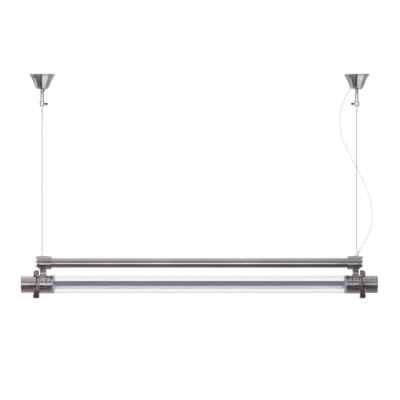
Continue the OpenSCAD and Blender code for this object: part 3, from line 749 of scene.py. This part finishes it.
def strands(x0, z0, z1, r=0.9, pitch=13.0):
    """Seven-strand wire: six laid round a core"""
    k = int((z1 - z0) / 1.3)
    z = np.linspace(z0, z1, k)
    rs = r / 3
    parts = [sweep(np.stack([np.full(3, x0), np.zeros(3), np.linspace(z0, z1, 3)], 1), rs * 1.05, 6)]
    for j in range(6):
        a = 2 * math.pi * (j / 6 + (z - z0) / pitch)
        parts.append(sweep(np.stack([x0 + 2 * rs * np.cos(a), 2 * rs * np.sin(a), z], 1), rs, 6))
    return join(*parts)


def eye_f(z_pin, up, r_disc, r_fer, reach):
    """Pressed eye with a waisted ferrule; up is +1 where the wire leaves upwards"""
    def f(x, y, z):
        x = x - XS
        t = (z - z_pin) * up
        r = rad(x, y)
        ring = smax(rad(x, t) - r_disc, np.abs(y) - 1.6, 0.7)
        ring = smax(ring, -(rad(rad(x, t), y, r_disc + 0.55, 0) - 0.95), 0.3)
        fer = smax(r - r_fer + 0.16 * np.exp(-((t - reach * 0.45) / 0.8) ** 2) + 0.16 * np.exp(-((t - reach * 0.72) / 0.8) ** 2), np.abs(t - (reach + 2) / 2) - (reach - 2) / 2, 0.35)
        d = smin(ring, fer, 0.9)
        d = smax(d, -(rad(x, t) - 1.3), 0.25)
        return smax(d, -smax(r - 0.95, 4.7 - t, 0.1), 0.15)
    return f


def lug_f(x, y, z):
    x = x - XS
    r = rad(x, y)
    t = z - (ZP + 24.25)
    d = box2(t, r, -5, 0.3, -5, 3, 0.2)
    d = smin(d, box2(t, r, -0.3, 1.2, -5, 4.2, 0.35), 0.2)
    fork = smin(rad(x, t, 0, 5) - 3, box2(x, t, -3, 3, 1.0, 5, 0.1), 0.2)
    fork = smax(fork, np.abs(np.abs(y) - 2.85) - 0.75, 0.35)
    d = smin(d, fork, 0.6)
    return smax(d, -(rad(x, t, 0, 5) - 1.15), 0.2)


def pin(x, z, r, half, head, hr):
    """A pin along Y with a turned head at each end"""
    p = [(-half, 0), (-half, hr - 0.5, 0.3), (-half + 0.25, hr, 0.2), (-half + head, hr, 0.15), (-half + head, r, 0.1),
         (half - head, r, 0.1), (half - head, hr, 0.15), (half - 0.25, hr, 0.2), (half, hr - 0.5, 0.3), (half, 0)]
    return lathe(rnd(p), 40, "y", (x, 0, z))


for s, word in ((-1, "left"), (1, "right")):
    cast("stem_tube_" + word, stem_f, (XS - 6.2, -6.2, -103.2), (XS + 6.2, 6.2, -39.8), 0.42, s, "chrome", word + "_stem", ["stem_" + word])
    cast("lock_collar_" + word, lock_f, (XS - 9.1, -8.4, -131.6), (XS + 8.4, 8.4, -97.3), 0.38, s, "chrome", word + "_stem", ["wire_lock_" + word])
    o = piece("knurled_screw_" + word, thumb_screw(s), "black", word + "_thumb_screw", ["thumb_screw_" + word], sharp=30)
    boolean(o, [mirror((np.array(block((XS - 21, -3.4, -108.45), (XS - 19.7, 3.4, -107.55))[0], float), block((0, 0, 0), (1, 1, 1))[1]), s)])
    piece("link_rivet_" + word, pin(s * XS, Z_LINK, 1.25, 4.6, 0.75, 2.0), "chrome", word + "_stem", ["link_pin_" + word])
    piece("wire_strands_" + word, strands(s * XS, Z_EYE + 4.5, Z_LINK - 5), "wire", word + "_wire", ["wire_" + word], sharp=60)
    cast("upper_thimble_" + word, eye_f(Z_LINK, -1, 3.0, 1.75, 12), (XS - 3.2, -1.8, Z_LINK - 12.2), (XS + 3.2, 1.8, Z_LINK + 3.2), 0.24, s,
         "chrome", word + "_wire", ["upper_eye_" + word])
    cast("lower_thimble_" + word, eye_f(Z_EYE, 1, 2.8, 1.7, 11), (XS - 3.0, -1.8, Z_EYE - 3.0), (XS + 3.0, 1.8, Z_EYE + 11.2), 0.24, s,
         "satin", word + "_wire", ["lower_eye_" + word])
    cast("lug_fork_" + word, lug_f, (XS - 4.4, -4.4, ZP + 19.2), (XS + 4.4, 4.4, Z_EYE + 3.2), 0.28, s, "satin", "lamp", ["suspension_lug_" + word])
piece("lug_rivets", join(pin(-XS, Z_EYE, 1.1, 4.0, 0.35, 1.12), pin(XS, Z_EYE, 1.1, 4.0, 0.35, 1.12)), "satin", "lamp", ["lug_pins"])
tail = catmull([(-XS + 5.95, 0, -63), (-XS + 7.2, 0, -60), (-XS + 9.2, 0, -56.5), (-XS + 10.6, 0, -53)], 8)
piece("wire_tail_end", sweep(tail, 1.5, 16, radii=[1.55 - 0.008 * i - 0.05 * (1 + math.sin(i * 1.3)) for i in range(len(tail))]), "black", "left_stem", ["wire_tail"])


# ---------------------------------------------------------------- end brackets, covers, caps
ARM = [(12, 19.0), (19, 17.2), (26, 15.7), (33, 14.5), (40, 14.1), (46, 15.5), (51, 19.0), (56, 24.0)]
arm_z = np.array([ZP - p[0] for p in ARM])[::-1]
arm_w = np.array([p[1] for p in ARM])[::-1]


def flange_f(x, y, z, a, b):
    """U-shaped clamp flange under the glass axis"""
    return smax(box2(y, z, -31, 31, ZL - 50, ZL + 10, 8.0), np.abs(x - (a + b) / 2) - (b - a) / 2, 0.9)


def bracket_f(right):
    def f(x, y, z):
        rl = rad(y, z, 0, ZL)
        rp = rad(y, z, 0, ZP)
        collar = smin(smax(box2(x, rl, 535, 600, -20, 33.5, 1.1), box2(x, rl, 500, 583.8, -40, 33.5, 3.0), 0.2), box2(x, rl, 560, 591, -20, 31.2, 0.9), 1.0)
        socket = box2(x, rp, 540, 582, -20, 24.25, 1.1)
        w = np.interp(z, arm_z, arm_w)
        body = smax(np.abs(y) - w, np.maximum(z - (ZP - 12), (ZP - 56) - z), 1.0)
        hx = 11.1 + 0.4 * np.clip((np.abs(z - (ZP - 34)) - 6) / 12, 0, 1)
        arm = smax(body * 0.95, np.abs(x - 570) - hx, 3.2)
        band = smax(smax(rl - 34.9, np.abs(x - 570) - 11.5, 1.0), (ZL - 10) - z, 1.4)
        d = smin(collar, band, 0.8)
        d = smin(d, arm, 3.5)
        d = smin(d, socket, 3.0)
        # hinge ears
        ear = np.minimum(rad(x, z, PIN_X, PIN_Z) - 9.5, np.minimum(box2(x, z, 586.2, 591, ZL + 18, ZL + 51.5, 0.4), box2(x, z, 586.2, 596, ZL + 42, ZL + 51.5, 0.4)))
        ear = smax(ear, np.maximum(np.abs(y) - 11.6 + 0.115 * (z - (ZL + 30)), 6.3 - np.abs(y)), 1.2)
        d = smin(d, ear, 1.2)
        # clamp flange
        d = smin(d, flange_f(x, y, z, 584.5, 592.4), 1.0)
        if right:
            t = (x - G0[0]) * GDIR[0] + (z - G0[2]) * GDIR[2]
            q = np.sqrt(np.maximum((x - G0[0]) ** 2 + (y - G0[1]) ** 2 + (z - G0[2]) ** 2 - t * t, 0))
            d = smin(d, smax(q - 6.4, np.abs(t + 1) - 6, 0.8), 1.6)
        d = smax(d, -smax(rl - 32.2, x - 566, 0.6), 0.7)
        d = smax(d, -smax(rl - 29.5, 570 - x, 0.6), 0.7)
        d = smax(d, -(rad(y, z, 0, ZT) - 16), 0.7)
        d = smax(d, -(rp - 18.1), 0.7)
        d = smax(d, -smax(smax(rad(x, y, 575.5, 0) - 3.5, (ZL + 25) - z, 0.3), z - ZP, 0.3), 0.6)
        d = smax(d, -smax(rad(x, z, PIN_X, PIN_Z) - 2.6, np.abs(y) - 14, 0.2), 0.5)
        d = smax(d, -(np.maximum(rad(y, z, 0, LATCH_Z) - 3.6, 583 - x)), 0.5)
        d = smax(d, -smax(rad(x, y, 574, 0) - 3.1, (ZP + 10) - z, 0.3), 0.5)
        return d
    return f


def cap_f(x, y, z):
    rl = rad(y, z, 0, ZL)
    d = box2(x, rl, 593.9, 650, -20, 31.5, 1.0)
    d = smax(d, box2(x, rl, 560, 650, -40, 31.5, 3.2), 0.3)     # softly rounded outer corner
    d = smin(d, box2(x, rl, 594.3, 605.2, -20, 32.1, 0.5), 0.6)
    ear = smin(rad(x, z, PIN_X, PIN_Z) - 9.2, box2(x, z, 597, 606, ZL + 28, ZL + 41, 1.5), 4.0)
    ear = smax(ear, np.abs(y) - 6, 1.1)
    ear = smax(ear, x - 605.6, 1.0)
    d = smin(d, ear, 1.6)
    d = smin(d, flange_f(x, y, z, 592.8, 603), 1.0)
    d = smax(d, -smax(rl - 29.5, x - 647, 1.2), 0.6)
    d = smax(d, -smax(rad(x, z, PIN_X, PIN_Z) - 2.6, np.abs(y) - 14, 0.2), 0.5)
    d = smax(d, -(rad(y, z, 0, LATCH_Z) - 3.15), 0.5)
    return smax(d, 593.9 - x + np.where((z > ZL + 31.8) | (z < ZL - 1), -20, 0) * 1.0, 0.4)


COVER_A = [68, 112, 14, 166, -29, 209]


def cover_f(x, y, z):
    rp = rad(y, z, 0, ZP)
    d = box2(x, rp, 582, 592, -20, 24.25, 0.6)
    d = smax(d, (x - 592) * 0.7071 + (rp - 22.25) * 0.7071, 0.6)
    a = math.radians(40.6)
    # lower outer corner is bevelled
    d = smax(d, (x - 583) * math.sin(a) - (z - (ZP - 22.3)) * math.cos(a), 0.9)
    # shallow dished centre
    d = smax(d, -smax(rp - 12.5, 591.2 - x, 0.5), 0.6)
    return smin(d, box2(x, rp, 580, 583, -20, 17.5, 0.4), 0.4)


for s, word in ((-1, "left"), (1, "right")):
    cast("end_casting_" + word, bracket_f(s > 0), (535, -35, ZL - 50), (605.6, 35, ZP + 32), 0.92, s, "nickel", "lamp", ["end_bracket_" + word])
    cast("hinged_cap_" + word, cap_f, (586.8, -32.2, ZL - 50), (650, 32.2, ZL + 51.4), 0.9, s, "nickel", word + "_cap", ["end_cap_" + word])
    cast("socket_cover_" + word, cover_f, (580, -24.4, ZP - 24.4), (592.2, 24.4, ZP + 24.4), 0.6, s, "nickel", "lamp", ["pipe_cover_" + word])
    heads = []
    for a in COVER_A:
        a = math.radians(a)
        p = rnd([(576.5, 0), (576.5, 1.45, 0.2), (591.9, 1.45, 0.1), (591.9, 3.0, 0.2), (594.6, 3.0, 0.9), (596.4, 2.3, 0.9), (597.3, 1.0, 0.2), (597.3, 0.85),
                 (595.4, 0.8, 0.1), (595.2, 0)])
        heads.append(mirror(lathe(p, 36, "x", (0, 21 * math.cos(a), ZP + 21 * math.sin(a))), s))
    piece("cover_dome_screws_" + word, join(*heads), "screw", "lamp", ["cover_screws_" + word])
    # translucent seal with a bead and fine ribs
    ribs = [(552, 31.6), (552, 32.1, 0.2)]
    for i in range(5):
        c = 549.5 - i * 3
        ribs += [(c + 0.6, 32.1), (c, 32.19), (c - 0.6, 32.1)]
    prof = ribs + [(534.9, 32.1), (534.2, 33.0, 0.6), (529.7, 33.0, 0.7), (528.5, 32.2, 0.3), (528.5, 31.6, 0.2)]
    piece("glass_seal_ring_" + word, mirror(lathe(rnd(prof, True), 128, "x", (0, 0, ZL)), s), "seal", "lamp", ["glass_seal_" + word], sharp=50)
    # slotted closing stud with a knurled head
    prof = rnd([(589, 0), (589, 2.3, 0.3), (589.7, 3.0, 0.2), (603.1, 3.0, 0.1), (603.1, 6.1, 0.2), (603.5, 6.35), (606.2, 6.35), (606.6, 5.9, 0.3), (607, 5.2, 0.3), (607, 0)])
    fine = []
    for a, b in zip(prof, prof[1:]):
        k = max(1, int(math.hypot(a[0] - b[0], a[1] - b[1]) / 0.9))
        fine += [(a[0] + (b[0] - a[0]) * i / k, a[1] + (b[1] - a[1]) * i / k) for i in range(k)]
    fine.append(prof[-1])
    st = lathe(fine, 120, "x", (0, 0, LATCH_Z), mod=lambda t, r, a: (0.15 * math.cos(30 * a) if 603.45 <= t <= 606.25 and r > 6 else 0.0))
    o = piece("closing_stud_" + word, mirror(st, s), "stud", word + "_latch", ["cap_latch_" + word], sharp=30)
    bl = block((605.4, -8, LATCH_Z - 0.8), (608.4, 8, LATCH_Z + 0.8))
    boolean(o, [mirror((np.array(bl[0], float), bl[1]), s)])

# hinge pins with ringed heads
pins = []
for s in (-1, 1):
    p = [(-13.2, 0), (-13.2, 1.5, 0.2), (-12.75, 1.8), (-12.75, 2.5), (-13.2, 2.8, 0.2), (-13.2, 3.9, 0.4), (-12.7, 4.4, 0.3), (-11.5, 4.4, 0.2), (-11.3, 4.1), (-11.3, 2.5, 0.1)]
    p = p + [(-t, r, *q) for t, r, *q in reversed(p)]
    pins.append(lathe(rnd(p), 48, "y", (s * PIN_X, 0, PIN_Z)))
piece("hinge_pins_turned", join(*pins), "nickel_tube", "lamp", ["hinge_pins"])

# gaskets with a soft lip
gk = [mirror(lathe(rnd([(591, 29.7, 0.2), (591, 30.9, 0.3), (592.3, 30.95, 0.4), (593.6, 30.6, 0.4), (593.6, 29.95, 0.3), (592.3, 29.8, 0.4)], True), 128, "x", (0, 0, ZL)), s) for s in (-1, 1)]
piece("cap_gasket_rings", join(*gk), "rubber", "lamp", ["cap_gaskets"], sharp=60)

# upper pipe, glass, tray and lamp tube
cuts = [-561.5, -558.0] + list(np.linspace(-545, 545, 23)) + [558.0, 561.5]
pp = [(-562, 17.6)] + [(x, 18.0) for x in cuts] + [(562, 17.6), (562, 16.9)] + [(x, 16.5) for x in reversed(cuts)] + [(-562, 16.9)]
piece("upper_pipe", lathe(pp, 160, "x", (0, 0, ZP)), "nickel_tube", "lamp", ["top_pipe"], sharp=50)
gp = [(-563, 30.7), (-562.6, 31.2)] + [(x, 31.5) for x in cuts] + [(562.6, 31.2), (563, 30.7), (563, 29.9), (562.6, 29.4)] + [(x, 29.1) for x in reversed(cuts)] + [(-562.6, 29.4), (-563, 29.9)]
piece("glass_cylinder", lathe(gp, 160, "x", (0, 0, ZL)), "glass", "lamp", ["glass_tube"], sharp=50)
w = 16
out = rnd([(-w, -4.5, 0.3), (-w, 13, 2.6), (w, 13, 2.6), (w, -4.5, 0.3), (w - 1.4, -4.5, 0.3), (w - 1.4, 11.6, 1.4), (-w + 1.4, 11.6, 1.4), (-w + 1.4, -4.5, 0.3)], True, 5)
piece("light_tray_channel", bar([(y, ZL + z) for y, z in out], list(np.linspace(-565.6, 565.6, 20))), "tray", "lamp", ["light_tray"])


def arc(r, a0, a1, n):
    return [(r * math.cos(math.radians(a0 + (a1 - a0) * i / n)), ZT + r * math.sin(math.radians(a0 + (a1 - a0) * i / n))) for i in range(n + 1)]


st = list(np.linspace(-588, 588, 22))
piece("lamp_milky_cover", bar(arc(13, 180, 360, 48) + arc(11.8, 360, 180, 48), st), "diffuser", "lamp_tube", ["lamp_diffuser"])
back = arc(13, 0, 180, 48) + [(-11.6, ZT), (-11.6, ZT + 0.1), (-9.4, ZT + 0.1), (-9.4, ZT + 1.1), (-11.6, ZT + 1.1)] + arc(11.6, 173.5, 6.5, 44) + [(11.6, ZT + 1.1), (9.4, ZT + 1.1), (9.4, ZT + 0.1), (11.6, ZT + 0.1), (11.6, ZT)]
piece("lamp_heat_sink", bar(back, st), "alu", "lamp_tube", ["lamp_back"])


# cable gland: hexagon, ribbed strain relief
def along_gland(v):
    v = np.asarray(v, float)
    ex, ey = np.array([math.cos(TILT), 0, -math.sin(TILT)]), np.array([0.0, 1.0, 0.0])
    return G0 + v[:, :1] * ex + v[:, 1:2] * ey + v[:, 2:3] * GDIR


ribs = [(-6, 2.55), (-6, 3.6, 0.2), (-5.6, 4.0), (5.0, 4.0), (5.05, 5.5), (5.6, 6.25, 0.2), (9.3, 6.25, 0.2), (10, 5.4, 0.2), (10.05, 4.7)]
for i in range(7):
    t = 10.6 + i * 2.1
    r = 4.6 - 1.3 * (t - 10) / 16
    ribs += [(t, r), (t + 1.2, r - 0.09), (t + 1.4, r - 0.62), (t + 1.9, r - 0.65)]
ribs += [(25.6, 3.25), (26, 3.0), (26, 2.55)]


def hexed(t, r, a):
    if 5.3 <= t <= 9.6 and r > 6.0:
        b = (a % (math.pi / 3)) - math.pi / 6
        return min(0.0, 5.55 / math.cos(b) - r)
    return 0.0


gv, gf = lathe(rnd(ribs, True), 72, "z", (0, 0, 0), mod=hexed)
piece("cord_gland", (along_gland(gv), gf), "gland", "lamp", ["cable_gland"], sharp=32)


# ---------------------------------------------------------------- CAD nodes that keep their own shape
KEEP = {
    "ceiling_bracket_left": "zinc", "ceiling_bracket_right": "zinc", "swivel_pins": "zinc", "terminal_block": "white", "cord_clamp": "white",
    "tray_fixings": "zinc", "lampholder_left": "white", "lampholder_right": "white", "lampholder_screws": "zinc", "led_driver": "white",
    "lead_left": "lead", "lead_right": "lead", "supply_lead": "lead", "led_board": "board", "lamp_end_caps": "tube_cap",
    "lamp_contacts": "brass", "lamp_rotors": "white",
}
for n, key in KEEP.items():
    o = NODES[n]
    o.data.materials.clear()
    o.data.materials.append(M[key])
    for p in o.data.polygons:
        p.use_smooth = True
    o.data.set_sharp_from_angle(angle=math.radians(35))
    if n not in ("lead_left", "lead_right", "supply_lead"):
        bv = o.modifiers.new("edge", "BEVEL")
        bv.width = 0.00025
        bv.segments = 2
        bv.limit_method = "ANGLE"
        bv.angle_limit = math.radians(40)
        bv.use_clamp_overlap = True


# ---------------------------------------------------------------- floor and light
def stage_plane(name, corners, mat, hidden=False):
    me = bpy.data.meshes.new(name)
    me.from_pydata(corners, [], [tuple(range(len(corners)))])
    me.update()
    me.materials.append(mat)
    o = bpy.data.objects.new(name, me)
    bpy.context.scene.collection.objects.link(o)
    if hidden:
        o.visible_camera = False
        o.visible_shadow = False
        o.visible_diffuse = False
    return o


m, nt, b, co = _nodes("pale_floor")
nt.links.new(_ramp(nt, _noise(nt, co, 1.2, detail=5), [(0.3, (0.80, 0.785, 0.765)), (0.7, (0.86, 0.85, 0.835))]), b.inputs["Base Color"])
nt.links.new(_ramp(nt, _noise(nt, co, 30, detail=3), [(0.3, 0.55), (0.7, 0.7)]), b.inputs["Roughness"])
floor = stage_plane("floor", [(-4, -0.25, -1.6), (4, -0.25, -1.6), (4, 5.0, -1.6), (-4, 5.0, -1.6)], m)
floor.visible_glossy = False


def card(name, corners, up, along):
    """A light or dark studio card that only reflections see; its tone runs up its height and along its length"""
    m = bpy.data.materials.new(name)
    m.use_nodes = True
    nt = m.node_tree
    nt.nodes.clear()
    out = nt.nodes.new("ShaderNodeOutputMaterial")
    em = nt.nodes.new("ShaderNodeEmission")
    co = nt.nodes.new("ShaderNodeTexCoord")
    sep = nt.nodes.new("ShaderNodeSeparateXYZ")
    nt.links.new(co.outputs["Generated"], sep.inputs[0])
    mul = nt.nodes.new("ShaderNodeMix")
    mul.data_type = "RGBA"
    mul.blend_type = "MULTIPLY"
    mul.inputs[0].default_value = 1
    # a ramp holds tones up to 1, so the strength carries the peak
    peak = max(max(c) if isinstance(c, tuple) else c for _, c in up)
    nt.links.new(_ramp(nt, sep.outputs["Z"], [(q, tuple(v / peak for v in c) if isinstance(c, tuple) else c / peak) for q, c in up]), mul.inputs[6])
    nt.links.new(_ramp(nt, sep.outputs["X"], along), mul.inputs[7])
    nt.links.new(mul.outputs[2], em.inputs[0])
    em.inputs[1].default_value = peak
    nt.links.new(em.outputs[0], out.inputs[0])
    o = stage_plane(name, corners, m, hidden=True)
    o.visible_transmission = False
    return o


def area(name, loc, look, sx, sy, power, color=(1, 1, 1), spread=None):
    d = bpy.data.lights.new(name, "AREA")
    d.shape = "RECTANGLE"
    d.size, d.size_y = sx, sy
    d.energy = power
    d.color = color
    o = bpy.data.objects.new(name, d)
    bpy.context.scene.collection.objects.link(o)
    o.location = loc
    o.rotation_euler = (Vector(look) - Vector(loc)).to_track_quat("-Z", "Y").to_euler()
    o.visible_camera = False
    return o


def add_world():
    w = bpy.data.worlds.new("studio")
    bpy.context.scene.world = w
    w.use_nodes = True
    nt = w.node_tree
    nt.nodes.clear()
    out = nt.nodes.new("ShaderNodeOutputWorld")
    co = nt.nodes.new("ShaderNodeTexCoord")
    sep = nt.nodes.new("ShaderNodeSeparateXYZ")
    nt.links.new(co.outputs["Generated"], sep.inputs[0])
    neg = nt.nodes.new("ShaderNodeMath")
    neg.operation = "MULTIPLY"
    neg.inputs[1].default_value = -1
    nt.links.new(sep.outputs["Y"], neg.inputs[0])
    ang = nt.nodes.new("ShaderNodeMath")      # angle in the YZ plane: 0 towards the camera, 90 up, -90 down
    ang.operation = "ARCTAN2"
    nt.links.new(sep.outputs["Z"], ang.inputs[0])
    nt.links.new(neg.outputs[0], ang.inputs[1])
    mp = nt.nodes.new("ShaderNodeMapRange")
    mp.inputs["From Min"].default_value = -math.pi
    mp.inputs["From Max"].default_value = math.pi
    nt.links.new(ang.outputs[0], mp.inputs["Value"])

    def by_angle(stops):
        """Colour by that angle, from (degrees, colour) pairs"""
        r = nt.nodes.new("ShaderNodeValToRGB")
        e = r.color_ramp.elements
        full = [c if isinstance(c, tuple) else (c, c, c) for _, c in stops]
        e[0].position, e[0].color = 0.0, (*full[0], 1)
        e[1].position, e[1].color = 1.0, (*full[-1], 1)
        for (d, _), c in list(zip(stops, full))[1:-1]:
            e.new((d + 180) / 360).color = (*c, 1)
        nt.links.new(mp.outputs[0], r.inputs[0])
        return r.outputs[0]

    def weight(a, b):
        w = nt.nodes.new("ShaderNodeMapRange")
        w.interpolation_type = "SMOOTHSTEP"
        w.inputs["From Min"].default_value = a
        w.inputs["From Max"].default_value = b
        nt.links.new(sep.outputs["X"], w.inputs["Value"])
        return w.outputs[0]

    def blend(w, a, b):
        m = nt.nodes.new("ShaderNodeMix")
        m.data_type = "RGBA"
        nt.links.new(w, m.inputs[0])
        nt.links.new(a, m.inputs[6])
        nt.links.new(b, m.inputs[7])
        return m.outputs[2]

    middle = by_angle([(-180, 0.85), (-160, (0.78, 0.70, 0.66)), (-138, (0.70, 0.52, 0.45)), (-110, (0.43, 0.33, 0.27)), (-89, (0.23, 0.20, 0.175)),
                       (-72, (0.20, 0.19, 0.185)), (-60, 0.32), (-50, 0.36), (-20, 0.34), (0, (0.20, 0.20, 0.21)), (28, (0.24, 0.23, 0.235)), (43, (0.32, 0.305, 0.31)),
                       (57, (0.42, 0.40, 0.395)), (73, (0.50, 0.475, 0.45)), (90, (0.64, 0.605, 0.57)), (111, (0.80, 0.75, 0.71)), (141, (0.84, 0.80, 0.785)), (180, 0.85)])
    left = by_angle([(-180, 0.20), (-167, 0.36), (-147, 0.36), (-108, 0.38), (-81, 0.38), (-70, 0.42), (-60, 0.42), (-54, 0.72), (-48, 0.86), (-40, 0.80), (-28, 0.36), (-12, 0.24), (0, 0.26), (60, 0.38), (180, 0.20)])
    right = by_angle([(-180, 0.12), (-167, 0.34), (-147, 0.40), (-108, 0.42), (-84, 0.38), (-68, 0.42), (-60, 0.24), (-54, 0.20), (-45, 0.15), (-36, 0.09), (-28, 0.08), (-12, 0.10), (0, 0.18), (60, 0.30), (180, 0.12)])
    right_end = by_angle([(-180, 0.45), (-160, 0.35), (-138, (0.25, 0.22, 0.22)), (-115, (0.40, 0.34, 0.30)), (-89, (0.27, 0.24, 0.21)), (-72, (0.20, 0.19, 0.185)),
                          (-60, 0.32), (-50, 0.36), (-20, 0.34), (0, 0.20), (28, 0.235), (40, 0.29), (54, 0.25), (70, 0.285), (87, 0.455), (107, 0.55), (128, 0.50), (180, 0.45)])
    middle = blend(weight(0.0550, 0.0605), middle, right_end)
    tone = blend(weight(0.08, 0.40), blend(weight(-0.08, -0.40), middle, left), right)
    # the right-hand end of the lamp sees a darker room
    dim = nt.nodes.new("ShaderNodeValToRGB")
    e = dim.color_ramp.elements
    e[0].position, e[0].color = 0.0, (1, 1, 1, 1)
    e[1].position, e[1].color = 1.0, (1, 1, 1, 1)
    for q, c in ((0.5, 1.0), (0.522, 0.94), (0.5315, 0.64), (0.545, 0.64), (0.60, 0.95)):
        e.new(q).color = (c, c, c, 1)
    sm = nt.nodes.new("ShaderNodeMapRange")
    sm.inputs["From Min"].default_value = -1
    sm.inputs["From Max"].default_value = 1
    nt.links.new(sep.outputs["X"], sm.inputs["Value"])
    nt.links.new(sm.outputs[0], dim.inputs[0])
    mul = nt.nodes.new("ShaderNodeMix")
    mul.data_type = "RGBA"
    mul.blend_type = "MULTIPLY"
    mul.inputs[0].default_value = 1
    nt.links.new(tone, mul.inputs[6])
    nt.links.new(dim.outputs[0], mul.inputs[7])
    b1 = nt.nodes.new("ShaderNodeBackground")
    nt.links.new(mul.outputs[2], b1.inputs[0])
    b1.inputs[1].default_value = 1.25
    b2 = nt.nodes.new("ShaderNodeBackground")
    b2.inputs[0].default_value = (1, 1, 1, 1)
    lp = nt.nodes.new("ShaderNodeLightPath")

    def test(op, a, v):
        n = nt.nodes.new("ShaderNodeMath")
        n.operation = op
        nt.links.new(a, n.inputs[0])
        if isinstance(v, (int, float)):
            n.inputs[1].default_value = v
        else:
            nt.links.new(v, n.inputs[1])
        return n.outputs[0]

    matt = test("GREATER_THAN", lp.outputs["Diffuse Depth"], 0.5)
    mirrored = test("MULTIPLY", test("GREATER_THAN", lp.outputs["Glossy Depth"], 0.5), test("SUBTRACT", test("MULTIPLY", matt, -1.0), -1.0))
    # light that reaches matt pieces through the glass is a little stronger, for what the two walls take
    through = test("MULTIPLY", matt, lp.outputs["Is Transmission Ray"])
    nt.links.new(test("ADD", test("MULTIPLY", through, 0.6), 1.0), b2.inputs[1])
    sh = nt.nodes.new("ShaderNodeMixShader")
    nt.links.new(mirrored, sh.inputs[0])
    nt.links.new(b2.outputs[0], sh.inputs[1])
    nt.links.new(b1.outputs[0], sh.inputs[2])
    nt.links.new(sh.outputs[0], out.inputs[0])


add_world()
# a long low strip in front, a large soft light above left, a soft fill
NOTCH = 0.0045
card("card_strip", [(-1.1, -0.20, -0.780), (1.1, -0.20, -0.780), (1.1, -0.20, -0.703), (-1.1, -0.20, -0.703)],
     [(0.0, 1.1), (0.10, 1.65), (0.90, 1.65), (1.0, 1.1)],
     [(0.0, 0.62), (0.2250 - NOTCH, 0.62), (0.2255 - NOTCH, 0.13), (0.2250 + NOTCH, 0.13), (0.2255 + NOTCH, 0.70), (0.25, 0.62), (0.26, 0.80), (0.40, 1.0), (0.62, 1.0), (0.73, 0.70),
      (0.74, 0.45), (0.7745 - NOTCH, 0.45), (0.7750 - NOTCH, 0.11), (0.7745 + NOTCH, 0.11), (0.7750 + NOTCH, 0.42), (1.0, 0.32)])
card("card_dark", [(-1.4, -0.20, -1.30), (1.4, -0.20, -1.30), (1.4, -0.20, -0.782), (-1.4, -0.20, -0.782)],
     [(0.0, (0.30, 0.27, 0.255)), (0.20, (0.28, 0.25, 0.235)), (0.30, (0.17, 0.155, 0.15)), (0.5, (0.15, 0.135, 0.14)), (0.70, (0.13, 0.12, 0.13)), (0.82, (0.09, 0.085, 0.10)),
      (0.93, (0.10, 0.095, 0.11)), (0.98, (0.19, 0.19, 0.20)), (1.0, 0.34)],
     [(0.0, 1.0), (0.275, 1.0), (0.2805, 0.38), (0.2895, 0.38), (0.295, 1.0), (0.60, 1.0), (0.705, 0.86), (0.7105, 0.38), (0.7195, 0.38), (0.725, 0.85), (1.0, 0.85)])
# a dark card that only reflections see: a painted reflection of the glass and its tray, darker in the underside of the
# pipe
card("card_between", [(-0.545, -0.034, -0.7225), (0.545, -0.034, -0.7225), (0.545, 0.060, -0.7215), (-0.545, 0.060, -0.7215)],
     [(0.0, 0.12), (0.16, 0.12), (0.30, 0.30), (0.5, 0.31), (0.7, 0.31), (1.0, 0.42)], [(0.0, 1.0), (0.5, 0.95), (1.0, 0.62)])
card("card_stems", [(-1.6, -0.55, -0.150), (1.6, -0.55, -0.150), (1.6, -0.55, -0.045), (-1.6, -0.55, -0.045)],
     [(0.0, 0.85), (0.2, 1.0), (0.8, 1.0), (1.0, 0.85)], [(0.0, 1.0), (1.0, 1.0)])
for s, word in ((-1, "left"), (1, "right")):
    # behind and above the end castings, and below their clamp ears
    card("card_back_" + word, [(s * 0.560, 0.15, -0.575), (s * 0.611, 0.15, -0.575), (s * 0.611, 0.15, -0.465), (s * 0.560, 0.15, -0.465)],
         [(0.0, 0.12), (0.5, 0.09), (1.0, 0.12)], [(0.0, 1.0), (1.0, 1.0)])
    card("card_under_" + word, [(s * 0.594, -0.20, -0.9505), (s * 0.612, -0.20, -0.9505), (s * 0.612, 0.16, -0.95), (s * 0.594, 0.16, -0.95)],
         [(0.0, (0.10, 0.085, 0.105)), (1.0, (0.09, 0.075, 0.095))], [(0.0, 1.0), (1.0, 1.0)])
key = area("key", (-1.6, -2.2, 1.6), (0, 0, -0.5), 1.6, 1.6, 9, (1.0, 0.985, 0.96))
fill = area("fill", (1.8, -2.6, 0.4), (0, 0, -0.5), 1.2, 1.2, 3, (0.95, 0.97, 1.0))
floor_light = area("floor_light", (0, 2.5, 2.0), (0, 2.5, -1.6), 3.0, 3.0, 12)
for o in (key, fill, floor_light):
    o.visible_glossy = False

sc = bpy.context.scene
sc.view_settings.view_transform = "Standard"
sc.view_settings.look = "None"
sc.view_settings.exposure = 0
sc.view_settings.gamma = 1
